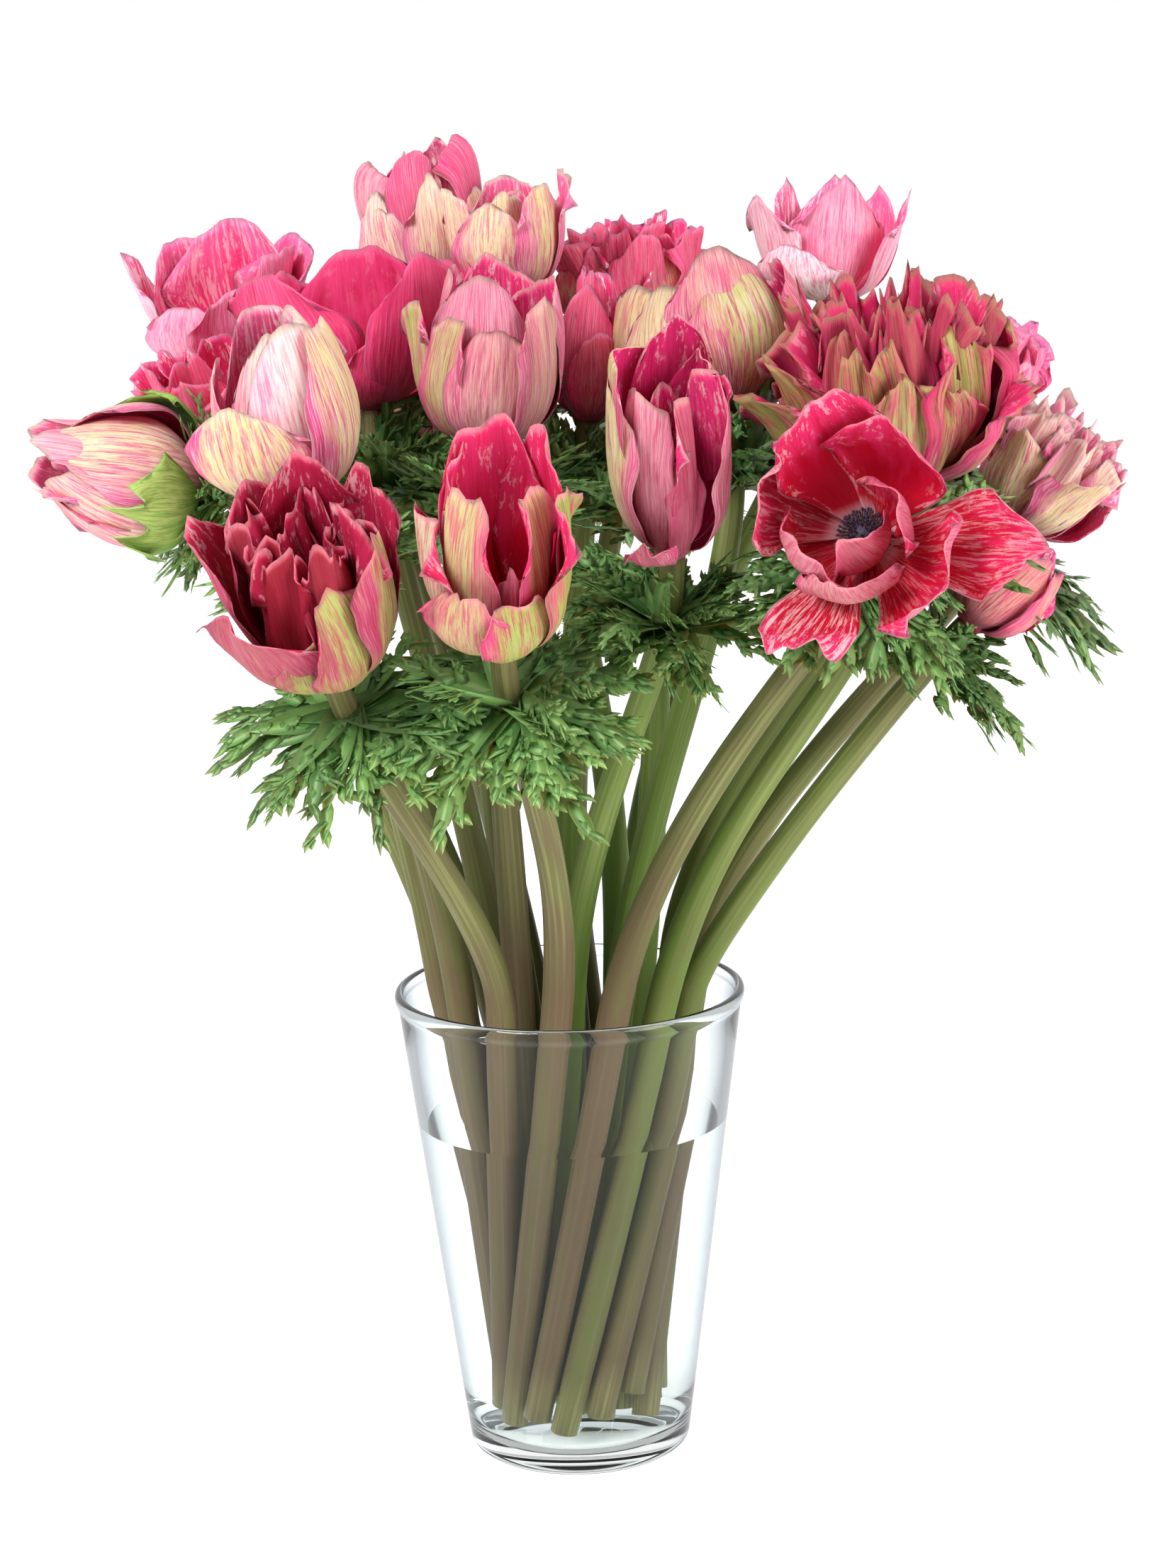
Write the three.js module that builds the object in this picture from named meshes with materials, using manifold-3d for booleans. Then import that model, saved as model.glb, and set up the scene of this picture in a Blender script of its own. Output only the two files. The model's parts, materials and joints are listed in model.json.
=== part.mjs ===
// A bouquet of anemones standing in water in a clear, tapered glass vase.
// Millimetres, +Z up. The origin is the middle of the vase's underside, and the front faces -Y.

import * as THREE from 'three';
import { mergeVertices } from 'three/addons/utils/BufferGeometryUtils.js';
import Module from 'manifold-3d';

const wasm = await Module();
wasm.setup();

// Driving dimensions of the vase and the water in it.
const GAP = 0.3;
const VASE_HEIGHT = 164;
const RIM_RADIUS = 60;
const BASE_RADIUS = 38;
const WALL = 3;
const FLOOR = 7;
const WATER_LEVEL = 119;
const ROUND_SIDES = 32;

// How far the lip stands out from the wall, how high the lip is, and how large the roundings are
// at the foot and inside where the wall meets the floor.
const LIP_OUT = 0.5;
const LIP_HEIGHT = 5;
const FOOT_ROUND = 3;
const FLOOR_ROUND = 6;

// The stems stand in three rings, which turn by TWIST between their feet and the rim.
const RINGS = [
  { count: 1, footRadius: 0, rimRadius: 0, firstAngle: 0 },
  { count: 8, footRadius: 12.8, rimRadius: 24, firstAngle: 270 },
  { count: 14, footRadius: 23.2, rimRadius: 43, firstAngle: 290 },
];
const TWIST = THREE.MathUtils.degToRad(62);
const PLACE_MARGIN = THREE.MathUtils.degToRad(15);
const STEM_SIDES = 6;
const STEM_STEPS = 5;
const STEM_BOW = 0.45;
const STEM_NOD = 0.28;
const STEM_RADIUS = { foot: 4.5, rim: 5.2, top: 3.9 };

// A petal's shape: its thickness in the middle, how far its corners are rounded off, how fast it
// widens from its root, how its cross-section bends round the head, how far one edge lies inside
// the next petal's edge, and how its rim waves across and along.
const PETAL = {
  thickness: 1.0,
  roundCorners: 0.14,
  spread: 0.84,
  fullness: 0.75,
  bend: 1.1,
  wrapAtRoot: 0.8,
  wrapGrowth: 0.5,
  pinwheel: 0.2,
  wavesAcross: 3.6,
  wavesAlong: 2.2,
  waveInMiddle: 0.4,
  columns: 3,
};
const PETAL_ROOT = { radius: 2.6, height: 1.4, layerRise: 1.4 };
const BELLY_LOW = 1.12;
const BELLY_HIGH = 1.2;
const BELLY_RISE = 0.58;
const RECEPTACLE = { bottom: 4.6, top: 6.4, height: 4 };
const SMALL_HEAD = 43;
const EYE = { radius: 5.2, height: 7, sides: 8 };

// Petal layers of each kind of head, outermost first. Lengths are shares of the head's length,
// and radii and half widths are shares of its half width.
const KINDS = {
  bud: [
    { count: 5, height: 0.97, belly: 1.0, tip: 0.62, half: 0.76, ruffle: 0.7, turn: 0 },
    { count: 3, height: 1.0, belly: 0.68, tip: 0.3, half: 0.66, ruffle: 0.9, turn: 40 },
  ],
  cup: [
    { count: 4, height: 0.94, belly: 0.92, tip: 1.02, half: 0.9, ruffle: 1.1, turn: 0 },
    { count: 4, height: 1.0, belly: 0.66, tip: 0.68, half: 0.6, ruffle: 1.1, turn: 45 },
  ],
  goblet: [
    { count: 5, height: 0.95, belly: 1.0, tip: 0.92, half: 0.76, ruffle: 1.1, turn: 0 },
    { count: 3, height: 1.0, belly: 0.66, tip: 0.56, half: 0.66, ruffle: 1.4, turn: 30 },
  ],
  ruffled: [
    { count: 5, height: 0.84, belly: 0.92, tip: 1.0, half: 0.72, ruffle: 1.5, turn: 0 },
    { count: 4, height: 1.0, belly: 0.58, tip: 0.6, half: 0.54, ruffle: 1.5, turn: 36 },
  ],
  bowl: [
    { count: 4, height: 0.62, belly: 0.95, tip: 1.0, half: 0.86, ruffle: 1.6, turn: 0 },
    { count: 3, height: 0.72, belly: 0.7, tip: 0.62, half: 0.8, ruffle: 1.2, turn: 60 },
  ],
};

// Each flower: where its head starts, where the head's tip is, and how wide the head is. The ring
// is 0 for the middle of the vase and 2 for the outside, and foot is the height of the cut end.
// Its collar of bracts sits below the head by "below", and its bracts reach out by "reach", rise
// by "lift" degrees and then droop. A stem with a small "bow" leaves the rim at a slant.
const FLOWERS = [
  { id: '01', base: [-39, 56, 391], tip: [-47, 61, 452], width: 39, kind: 'bud', ring: 1, foot: 16,
    tint: 'blush', below: 34, reach: 30, lift: 25, droop: 0.2 },
  { id: '02', base: [-114, 80, 373], tip: [-120, 72, 421], width: 58, kind: 'cup', ring: 2, foot: 12,
    tint: 'pink', below: 30, reach: 30, lift: 20, droop: 0.2, bow: 0.3 },
  { id: '03', base: [-61, 10, 362], tip: [-63, 9, 415], width: 60, kind: 'cup', ring: 1, foot: 14,
    tint: 'pink', below: 28, reach: 36, lift: 25, droop: 0.15 },
  { id: '04', base: [-112, 33, 344], tip: [-119, 22, 384], width: 40, kind: 'ruffled', ring: 2, foot: 20,
    tint: 'pink', below: 26, reach: 28, lift: 20, droop: 0.2, bow: 0.3 },
  { id: '05', base: [-79, -55, 341], tip: [-88, -68, 396], width: 47, kind: 'bud', ring: 2, foot: 12,
    tint: 'blush', below: 24, reach: 32, lift: 10, droop: 0.35 },
  { id: '06', base: [-116, -20, 340], tip: [-166, -35, 352], width: 44, kind: 'bud', ring: 2, foot: 46,
    tint: 'blush', below: 6, reach: 27, lift: 45, droop: 0.1, bow: 0.15 },
  { id: '07', base: [-70, -95, 291], tip: [-78, -129, 349], width: 48, kind: 'goblet', ring: 2, foot: 15,
    tint: 'crimson', below: 17, reach: 37, lift: 5, droop: 0.32, bow: 0.25 },
  { id: '08', base: [-21, -30, 352], tip: [-17, -35, 413], width: 43.5, kind: 'bud', ring: 1, foot: 18,
    tint: 'dusky', below: 22, reach: 36, lift: 35, droop: 0.1 },
  { id: '09', base: [-17, -110, 301], tip: [-16, -145, 369], width: 39, kind: 'goblet', ring: 2, foot: 12,
    tint: 'crimson', below: 24, reach: 38, lift: 8, droop: 0.35 },
  { id: '10', base: [36, -75, 322], tip: [34, -110, 396], width: 30, kind: 'goblet', ring: 1, foot: 22,
    tint: 'crimson', below: 26, reach: 34, lift: 5, droop: 0.3 },
  { id: '11', base: [29, 60, 381], tip: [25, 60, 421], width: 42, kind: 'ruffled', ring: 1, foot: 13,
    tint: 'pink', below: 26, reach: 32, lift: 20, droop: 0.25 },
  { id: '12', base: [11, 15, 356], tip: [14, 10, 404], width: 26, kind: 'ruffled', ring: 0, foot: 12,
    tint: 'dusky', below: 28, reach: 40, lift: 35, droop: 0.1 },
  { id: '13', base: [57, -15, 358], tip: [50, 0, 413], width: 58, kind: 'bud', ring: 1, foot: 17,
    tint: 'dusky', below: 20, reach: 36, lift: 35, droop: 0.15 },
  { id: '14', base: [-13, 28, 397], tip: [-16, 27, 438], width: 31, kind: 'bud', ring: 1, foot: 14,
    tint: 'blush', below: 30, reach: 30, lift: 25, droop: 0.2 },
  { id: '15', base: [98, 90, 388], tip: [101, 90, 433], width: 52, kind: 'cup', ring: 2, foot: 19,
    tint: 'pink', below: 30, reach: 34, lift: 30, droop: 0.1 },
  { id: '16', base: [110, -45, 337], tip: [104, -50, 404], width: 63, kind: 'ruffled', ring: 2, foot: 12,
    tint: 'dusky', below: 18, reach: 40, lift: 10, droop: 0.3 },
  { id: '17', base: [95, -97, 328], tip: [77, -162, 355], width: 70, kind: 'bowl', ring: 2, foot: 16,
    tint: 'crimson', below: 26, reach: 34, lift: 5, droop: 0.3 },
  { id: '18', base: [151, 0, 318], tip: [176, -3, 355], width: 39, kind: 'ruffled', ring: 2, foot: 24,
    tint: 'dusky', below: 12, reach: 40, lift: 5, droop: 0.35, bow: 0.3 },
  { id: '19', base: [147, 60, 350], tip: [156, 60, 384], width: 32, kind: 'ruffled', ring: 2, foot: 13,
    tint: 'pink', below: 21, reach: 34, lift: 15, droop: 0.3, bow: 0.33 },
  { id: '20', base: [132, -40, 292], tip: [156, -42, 316], width: 28, kind: 'bud', ring: 2, foot: 18,
    tint: 'blush', below: 14, reach: 30, lift: 5, droop: 0.3, bow: 0.1 },
  { id: '21', base: [-45, 88, 340], tip: [-52, 102, 378], width: 36, kind: 'ruffled', ring: 1, foot: 15,
    tint: 'pink', below: 24, reach: 34, lift: 15, droop: 0.3 },
  { id: '22', base: [25, 125, 345], tip: [28, 143, 392], width: 48, kind: 'goblet', ring: 2, foot: 12,
    tint: 'crimson', below: 22, reach: 38, lift: 5, droop: 0.4 },
  { id: '23', base: [-60, 128, 335], tip: [-68, 150, 378], width: 46, kind: 'bud', ring: 2, foot: 14,
    tint: 'blush', below: 20, reach: 38, lift: 5, droop: 0.4 },
];
const OPEN_KINDS = ['cup', 'bowl'];

// One side of a bract's lobed outline between its root and its middle lobe, and the two thick
// points on its midrib: way across and way along, as shares of the reach.
const BRACT_ROOT = [0, 0];
const BRACT_SIDE = [[0.5, 0.28], [0.16, 0.4], [0.62, 0.68], [0.13, 0.6], [0.36, 1.0], [0.07, 0.74]];
const BRACT_TIP = [0, 1.12];
const BRACT_RIB = [[0, 0.3], [0, 0.56]];
const BRACT = { count: 3, thickness: 1.2, depthInStem: 1.5, sideDroop: 0.5, clearance: 1.05 };

// Ways to bend a bract clear of its neighbours, tried in this order: degrees round the stem,
// degrees up, and a share of its reach.
const BENDS = [
  [0, 0, 1], [14, 0, 1], [-14, 0, 1], [0, 18, 1], [0, -18, 1], [26, 10, 1], [-26, 10, 1],
  [26, -12, 1], [-26, -12, 1], [0, 36, 1], [0, -36, 1], [38, -24, 1], [-38, -24, 1],
  [0, 0, 0.72], [20, 0, 0.72], [-20, 0, 0.72], [0, 24, 0.72], [0, -24, 0.72], [34, -20, 0.72],
  [-34, -20, 0.72], [0, 44, 0.72], [0, -44, 0.72],
];

const COLOURS = {
  glass: 0xdfeeee,
  water: 0xe8f4f4,
  stem: 0x66753a,
  eye: 0x1c1426,
  pink: 0xd9587f,
  blush: 0xd9a98f,
  dusky: 0xb9566f,
  crimson: 0xa81237,
};

// An axis whose share along Y is more than this counts as pointing towards or away from the front.
const STEEP = 0.8;

const MERGE_DISTANCE = 1e-4;
const NO_VOLUME = 1e-4;
const SLOPE_STEP = 0.02;

// A repeatable source of numbers between 0 and 1.
class Draws {
  constructor(seed) {
    this.state = seed * 7919 + 101;
    this.next();
  }

  next() {
    this.state = (this.state * 16807) % 2147483647;
    return this.state / 2147483647;
  }

  between(low, high) {
    return low + (high - low) * this.next();
  }
}

function vector(list) {
  return new THREE.Vector3(...list);
}

// A closed solid from corner points and triangles.
function solidFrom(points, triangles) {
  const vertProperties = new Float32Array(points.flatMap((point) => [point.x, point.y, point.z]));
  const triVerts = new Uint32Array(triangles.flat());
  return new wasm.Manifold(new wasm.Mesh({ numProp: 3, vertProperties, triVerts }));
}

// A closed solid from a three.js geometry.
function solidFromGeometry(geometry) {
  const bare = geometry.clone();
  bare.deleteAttribute('normal');
  bare.deleteAttribute('uv');
  const merged = mergeVertices(bare, MERGE_DISTANCE);
  const vertProperties = new Float32Array(merged.attributes.position.array);
  const triVerts = new Uint32Array(merged.index.array);
  return new wasm.Manifold(new wasm.Mesh({ numProp: 3, vertProperties, triVerts }));
}

// The largest body of a solid: the loose scraps that a cut leaves are dropped.
function mainBody(solid) {
  const bodies = solid.decompose();
  return bodies.reduce((best, body) => (body.volume() > best.volume() ? body : best));
}

function meshFrom(name, solid, material) {
  const { vertProperties, triVerts } = solid.getMesh();
  const geometry = new THREE.BufferGeometry();
  geometry.setAttribute('position', new THREE.BufferAttribute(new Float32Array(vertProperties), 3));
  geometry.setIndex(new THREE.BufferAttribute(new Uint32Array(triVerts), 1));
  geometry.computeVertexNormals();
  const mesh = new THREE.Mesh(geometry, material);
  mesh.name = name;
  return mesh;
}

function joined(solids) {
  return solids.reduce((whole, solid) => whole.add(solid));
}

// A skin over rings of points, closed by a fan at each end. A ring of one point is a sharp end.
function loft(rings) {
  const points = rings.flat();
  const starts = [];
  let total = 0;
  for (const ring of rings) {
    starts.push(total);
    total += ring.length;
  }
  const triangles = [];
  const sides = rings[0].length;
  for (let r = 0; r + 1 < rings.length; r += 1) {
    const sharp = rings[r + 1].length === 1;
    for (let k = 0; k < sides; k += 1) {
      const next = (k + 1) % sides;
      const a = starts[r] + k;
      const b = starts[r] + next;
      const c = starts[r + 1] + (sharp ? 0 : next);
      const d = starts[r + 1] + k;
      triangles.push([a, b, c]);
      if (!sharp) triangles.push([a, c, d]);
    }
  }
  for (let k = 1; k + 1 < sides; k += 1) {
    triangles.push([0, k + 1, k]);
    const last = starts[starts.length - 1];
    if (rings[rings.length - 1].length > 1) triangles.push([last, last + k, last + k + 1]);
  }
  return solidFrom(points, triangles);
}

function outerRadius(z) {
  return BASE_RADIUS + (RIM_RADIUS - LIP_OUT - BASE_RADIUS) * (z / VASE_HEIGHT);
}

// The vase is turned from one outline: flat underside, straight flared wall, rolled lip, thick floor.
function makeVaseSolid() {
  const lipFoot = VASE_HEIGHT - LIP_HEIGHT;
  const floorEdge = FLOOR + FLOOR_ROUND / 4;
  const outline = [
    [0, 0],
    [BASE_RADIUS - FOOT_ROUND, 0],
    [BASE_RADIUS - 0.3 * FOOT_ROUND, 0.3 * FOOT_ROUND],
    [outerRadius(FOOT_ROUND), FOOT_ROUND],
    [outerRadius(lipFoot), lipFoot],
    [RIM_RADIUS, VASE_HEIGHT - 0.4 * LIP_HEIGHT],
    [RIM_RADIUS - 0.5 * WALL, VASE_HEIGHT],
    [RIM_RADIUS - WALL, VASE_HEIGHT - 0.16 * LIP_HEIGHT],
    [outerRadius(lipFoot) - WALL, lipFoot],
    [outerRadius(FLOOR + FLOOR_ROUND) - WALL, FLOOR + FLOOR_ROUND],
    [outerRadius(floorEdge) - WALL - FLOOR_ROUND / 4, floorEdge],
    [outerRadius(FLOOR) - WALL - FLOOR_ROUND, FLOOR],
    [0, FLOOR],
  ];
  const profile = outline.map(([radius, z]) => new THREE.Vector2(radius, z));
  const turned = new THREE.LatheGeometry(profile, ROUND_SIDES);
  turned.rotateX(Math.PI / 2);
  return solidFromGeometry(turned);
}

// The water fills the vase up to its level, a hair inside the glass, with a hole round each stem.
function makeWaterSolid(stemHoles) {
  const inner = (z) => outerRadius(z) - WALL - GAP;
  const floorEdge = FLOOR + FLOOR_ROUND / 4 + GAP;
  const outline = [
    [0, FLOOR + GAP],
    [inner(FLOOR) - FLOOR_ROUND, FLOOR + GAP],
    [inner(floorEdge) - FLOOR_ROUND / 4 - GAP, floorEdge],
    [inner(FLOOR + FLOOR_ROUND), FLOOR + FLOOR_ROUND],
    [inner(WATER_LEVEL), WATER_LEVEL],
    [0, WATER_LEVEL],
  ];
  const profile = outline.map(([radius, z]) => new THREE.Vector2(radius, z));
  const turned = new THREE.LatheGeometry(profile, ROUND_SIDES);
  turned.rotateX(Math.PI / 2);
  return mainBody(solidFromGeometry(turned).subtract(joined(stemHoles)));
}

// Gives each flower of a ring its place in the ring, in order round the vase, so that
// no two stems cross on their way up.
function assignPlaces() {
  RINGS.forEach((ring, level) => {
    const members = FLOWERS.filter((flower) => flower.ring === level);
    const first = THREE.MathUtils.degToRad(ring.firstAngle);
    const turn = (angle) => THREE.MathUtils.euclideanModulo(angle - first + PLACE_MARGIN, 2 * Math.PI);
    const headAngle = (flower) => turn(Math.atan2(flower.base[1], flower.base[0]));
    members.sort((one, other) => headAngle(one) - headAngle(other));
    members.forEach((flower, place) => {
      const angle = first + (2 * Math.PI * place) / ring.count;
      const foot = angle - TWIST;
      flower.rimPoint = new THREE.Vector3(
        ring.rimRadius * Math.cos(angle),
        ring.rimRadius * Math.sin(angle),
        VASE_HEIGHT,
      );
      const floorPoint = new THREE.Vector3(
        ring.footRadius * Math.cos(foot),
        ring.footRadius * Math.sin(foot),
        FLOOR,
      );
      const share = (flower.foot - FLOOR) / (VASE_HEIGHT - FLOOR);
      flower.footPoint = floorPoint.lerp(flower.rimPoint, share);
    });
  });
}

// The stem's centre line: straight inside the vase, then one smooth curve up to the head.
function stemCurve(flower) {
  const rise = flower.rimPoint.clone().sub(flower.footPoint).normalize();
  const end = vector(flower.base).addScaledVector(flower.up, -GAP);
  const reach = end.distanceTo(flower.rimPoint);
  return new THREE.CubicBezierCurve3(
    flower.rimPoint,
    flower.rimPoint.clone().addScaledVector(rise, reach * (flower.bow ?? STEM_BOW)),
    end.clone().addScaledVector(flower.up, -reach * STEM_NOD),
    end,
  );
}

// One ring of a tube: a polygon square to the tangent, with a corner kept towards the front.
function ringAt(centre, tangent, radius) {
  const side = new THREE.Vector3(1, 0, 0).addScaledVector(tangent, -tangent.x).normalize();
  const back = tangent.clone().cross(side);
  const ring = [];
  for (let k = 0; k < STEM_SIDES; k += 1) {
    const angle = (2 * Math.PI * k) / STEM_SIDES;
    const point = centre.clone().addScaledVector(side, radius * Math.cos(angle));
    ring.push(point.addScaledVector(back, radius * Math.sin(angle)));
  }
  return ring;
}

function stemTube(flower, extra) {
  const { foot, rim, top } = STEM_RADIUS;
  const rise = flower.rimPoint.clone().sub(flower.footPoint).normalize();
  const start = flower.footPoint.clone().addScaledVector(rise, -extra);
  const rings = [ringAt(start, rise, foot + extra)];
  for (let step = 0; step <= STEM_STEPS; step += 1) {
    const t = step / STEM_STEPS;
    const radius = rim + (top - rim) * t + extra;
    rings.push(ringAt(flower.curve.getPoint(t), flower.curve.getTangent(t), radius));
  }
  return loft(rings);
}

// The head's own axes: up along the head, front towards the viewer and right to the viewer's right.
function setHeadAxes(flower) {
  flower.up = vector(flower.tip).sub(vector(flower.base)).normalize();
  const towards = Math.abs(flower.up.y) > STEEP ? new THREE.Vector3(0, 0, -1) : new THREE.Vector3(0, -1, 0);
  flower.front = towards.addScaledVector(flower.up, -towards.dot(flower.up)).normalize();
  flower.right = flower.up.clone().cross(flower.front);
  flower.length = vector(flower.tip).distanceTo(vector(flower.base));
}

function bezier(points, t) {
  const s = 1 - t;
  const [a, b, c, d] = points;
  return a * s * s * s + 3 * b * s * s * t + 3 * c * s * t * t + d * t * t * t;
}

function bezierSlope(points, t) {
  const s = 1 - t;
  const [a, b, c, d] = points;
  return 3 * ((b - a) * s * s + 2 * (c - b) * s * t + (d - c) * t * t);
}

// A point of a petal's middle surface, as radius from the head's axis, way across and height.
// u runs from -1 to 1 across the petal, and v from 0 at its root to 1 at its tip.
function petalPoint(petal, u, v) {
  const along = v * (1 - PETAL.roundCorners * u * u * v);
  const radius = bezier(petal.radii, along);
  const height = bezier(petal.heights, along);
  const outward = bezierSlope(petal.radii, along);
  const upward = bezierSlope(petal.heights, along);
  const slope = Math.hypot(outward, upward);
  const bend = PETAL.bend * radius;
  const wrap = petal.wrap * (PETAL.wrapAtRoot + PETAL.wrapGrowth * v) * bend;
  const half = Math.min(petal.half * Math.sin(PETAL.spread * Math.PI * v) ** PETAL.fullness, wrap);
  const angle = (u * half) / bend;
  const strength = (PETAL.waveInMiddle + (1 - PETAL.waveInMiddle) * u * u) * v * v;
  const wave = strength * Math.sin(petal.phase + PETAL.wavesAcross * u + PETAL.wavesAlong * v);
  const inward = bend * (1 - Math.cos(angle)) + PETAL.pinwheel * u * half + petal.ruffle * wave;
  return [
    radius - (inward * upward) / slope,
    bend * Math.sin(angle),
    height + (inward * outward) / slope,
  ];
}

// One petal as a closed blade: two faces that share their rim, thickest in the middle, with a
// pointed root.
function petalSolid(petal, flower, rows) {
  const { columns } = PETAL;
  const outwards = flower.front.clone().multiplyScalar(Math.cos(petal.azimuth));
  outwards.addScaledVector(flower.right, Math.sin(petal.azimuth));
  const sideways = flower.up.clone().cross(outwards);
  const place = (u, v) => {
    const [radius, across, height] = petalPoint(petal, u, v);
    const point = vector(flower.base).addScaledVector(outwards, radius);
    return point.addScaledVector(sideways, across).addScaledVector(flower.up, height);
  };
  const points = [];
  const outer = [];
  const inner = [];
  for (let i = 0; i <= columns; i += 1) {
    outer.push([]);
    inner.push([]);
    for (let j = 0; j <= rows; j += 1) {
      const u = (2 * i) / columns - 1;
      const v = j / rows;
      if (j === 0 && i > 0) {
        outer[i].push(outer[0][0]);
        inner[i].push(outer[0][0]);
        continue;
      }
      const middle = place(u, v);
      const onRim = i === 0 || j === 0 || i === columns || j === rows;
      outer[i].push(points.length);
      if (onRim) {
        points.push(middle);
      } else {
        const acrossStep = place(u + SLOPE_STEP, v).sub(middle);
        const alongStep = place(u, v + SLOPE_STEP).sub(middle);
        const normal = acrossStep.cross(alongStep).normalize().multiplyScalar(PETAL.thickness / 2);
        points.push(middle.clone().add(normal), middle.clone().sub(normal));
      }
      inner[i].push(points.length - 1);
    }
  }
  const triangles = [];
  for (let i = 0; i < columns; i += 1) {
    for (let j = 0; j < rows; j += 1) {
      const rising = i < columns / 2 === j < rows / 2;
      for (const [face, outside] of [[outer, true], [inner, false]]) {
        const a = face[i][j];
        const b = face[i + 1][j];
        const c = face[i + 1][j + 1];
        const d = face[i][j + 1];
        const pair = rising ? [[a, b, c], [a, c, d]] : [[a, b, d], [b, c, d]];
        for (const [p, q, r] of pair) {
          if (p !== q && q !== r && r !== p) triangles.push(outside ? [p, q, r] : [p, r, q]);
        }
      }
    }
  }
  return solidFrom(points, triangles);
}

// The petals of a head, layer by layer, each a little different from its neighbours.
function petalsOf(flower) {
  const draws = new Draws(Number(flower.id));
  const half = flower.width / 2;
  const petals = [];
  KINDS[flower.kind].forEach((layer, depth) => {
    const start = THREE.MathUtils.degToRad(layer.turn) + draws.between(-0.3, 0.3);
    for (let k = 0; k < layer.count; k += 1) {
      const belly = half * layer.belly * draws.between(0.97, 1.03);
      const tip = half * layer.tip * draws.between(0.85, 1.1);
      const height = flower.length * layer.height * draws.between(0.9, 1.0);
      const rootHeight = PETAL_ROOT.height + PETAL_ROOT.layerRise * depth;
      petals.push({
        depth,
        azimuth: start + (2 * Math.PI * (k + draws.between(-0.12, 0.12))) / layer.count,
        radii: [PETAL_ROOT.radius, belly * BELLY_LOW, belly * BELLY_HIGH, tip],
        heights: [rootHeight, rootHeight + height * 0.04, height * BELLY_RISE, height],
        half: half * layer.half,
        wrap: Math.PI / layer.count,
        ruffle: layer.ruffle,
        phase: draws.between(0, 2 * Math.PI),
      });
    }
  });
  return petals;
}

// The receptacle has a flat side for each outer petal.
function receptacleSolid(flower, firstPetal, sides) {
  const { bottom, top, height } = RECEPTACLE;
  const ring = (radius, rise) => {
    const points = [];
    for (let k = 0; k < sides; k += 1) {
      const angle = firstPetal.azimuth + (2 * Math.PI * (k + 0.5)) / sides;
      const point = vector(flower.base).addScaledVector(flower.up, rise);
      point.addScaledVector(flower.front, radius * Math.cos(angle));
      points.push(point.addScaledVector(flower.right, radius * Math.sin(angle)));
    }
    return points;
  };
  return loft([ring(bottom, 0), ring(top, height)]);
}

function bloomSolid(flower) {
  const petals = petalsOf(flower);
  const outerRows = flower.width > SMALL_HEAD ? 4 : 3;
  const blades = petals.map((petal) => petalSolid(petal, flower, petal.depth === 0 ? outerRows : 3));
  const receptacle = receptacleSolid(flower, petals[0], KINDS[flower.kind][0].count);
  return mainBody(joined([receptacle, ...blades]));
}

// The boss of stamens: a low dome on the receptacle.
function eyeSolid(flower) {
  const dome = new THREE.SphereGeometry(EYE.radius, EYE.sides, EYE.sides / 2);
  dome.rotateX(Math.PI / 2);
  dome.scale(1, 1, EYE.height / (2 * EYE.radius));
  const axes = new THREE.Matrix4().makeBasis(flower.right, flower.front.clone().negate(), flower.up);
  const centre = vector(flower.base).addScaledVector(flower.up, RECEPTACLE.height + GAP + EYE.height / 2);
  dome.applyMatrix4(axes);
  dome.translate(centre.x, centre.y, centre.z);
  return solidFromGeometry(dome);
}

// Where a flower's collar sits, with the axes there: up the stem, towards the viewer and to the right.
function collarAxes(flower) {
  const share = 1 - flower.below / flower.curve.getLength();
  const up = flower.curve.getTangentAt(share);
  const towards = Math.abs(up.y) > STEEP ? new THREE.Vector3(0, 0, -1) : new THREE.Vector3(0, -1, 0);
  const front = towards.addScaledVector(up, -towards.dot(up)).normalize();
  return { centre: flower.curve.getPointAt(share), up, front, right: up.clone().cross(front) };
}

// A point of a bract's middle surface, given across and along as shares of its reach.
function bractPoint(bract, across, along) {
  const { centre, up, front, right } = bract.axes;
  const outwards = front.clone().multiplyScalar(Math.cos(bract.azimuth));
  outwards.addScaledVector(right, Math.sin(bract.azimuth));
  const sideways = up.clone().cross(outwards);
  const reach = along * bract.reach;
  const point = centre.clone().addScaledVector(outwards, BRACT.depthInStem + reach * Math.cos(bract.lift));
  point.addScaledVector(up, reach * Math.sin(bract.lift));
  point.addScaledVector(sideways, across * bract.reach);
  point.z -= bract.droop * bract.reach * (along * along + BRACT.sideDroop * across * across);
  return point;
}

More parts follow.
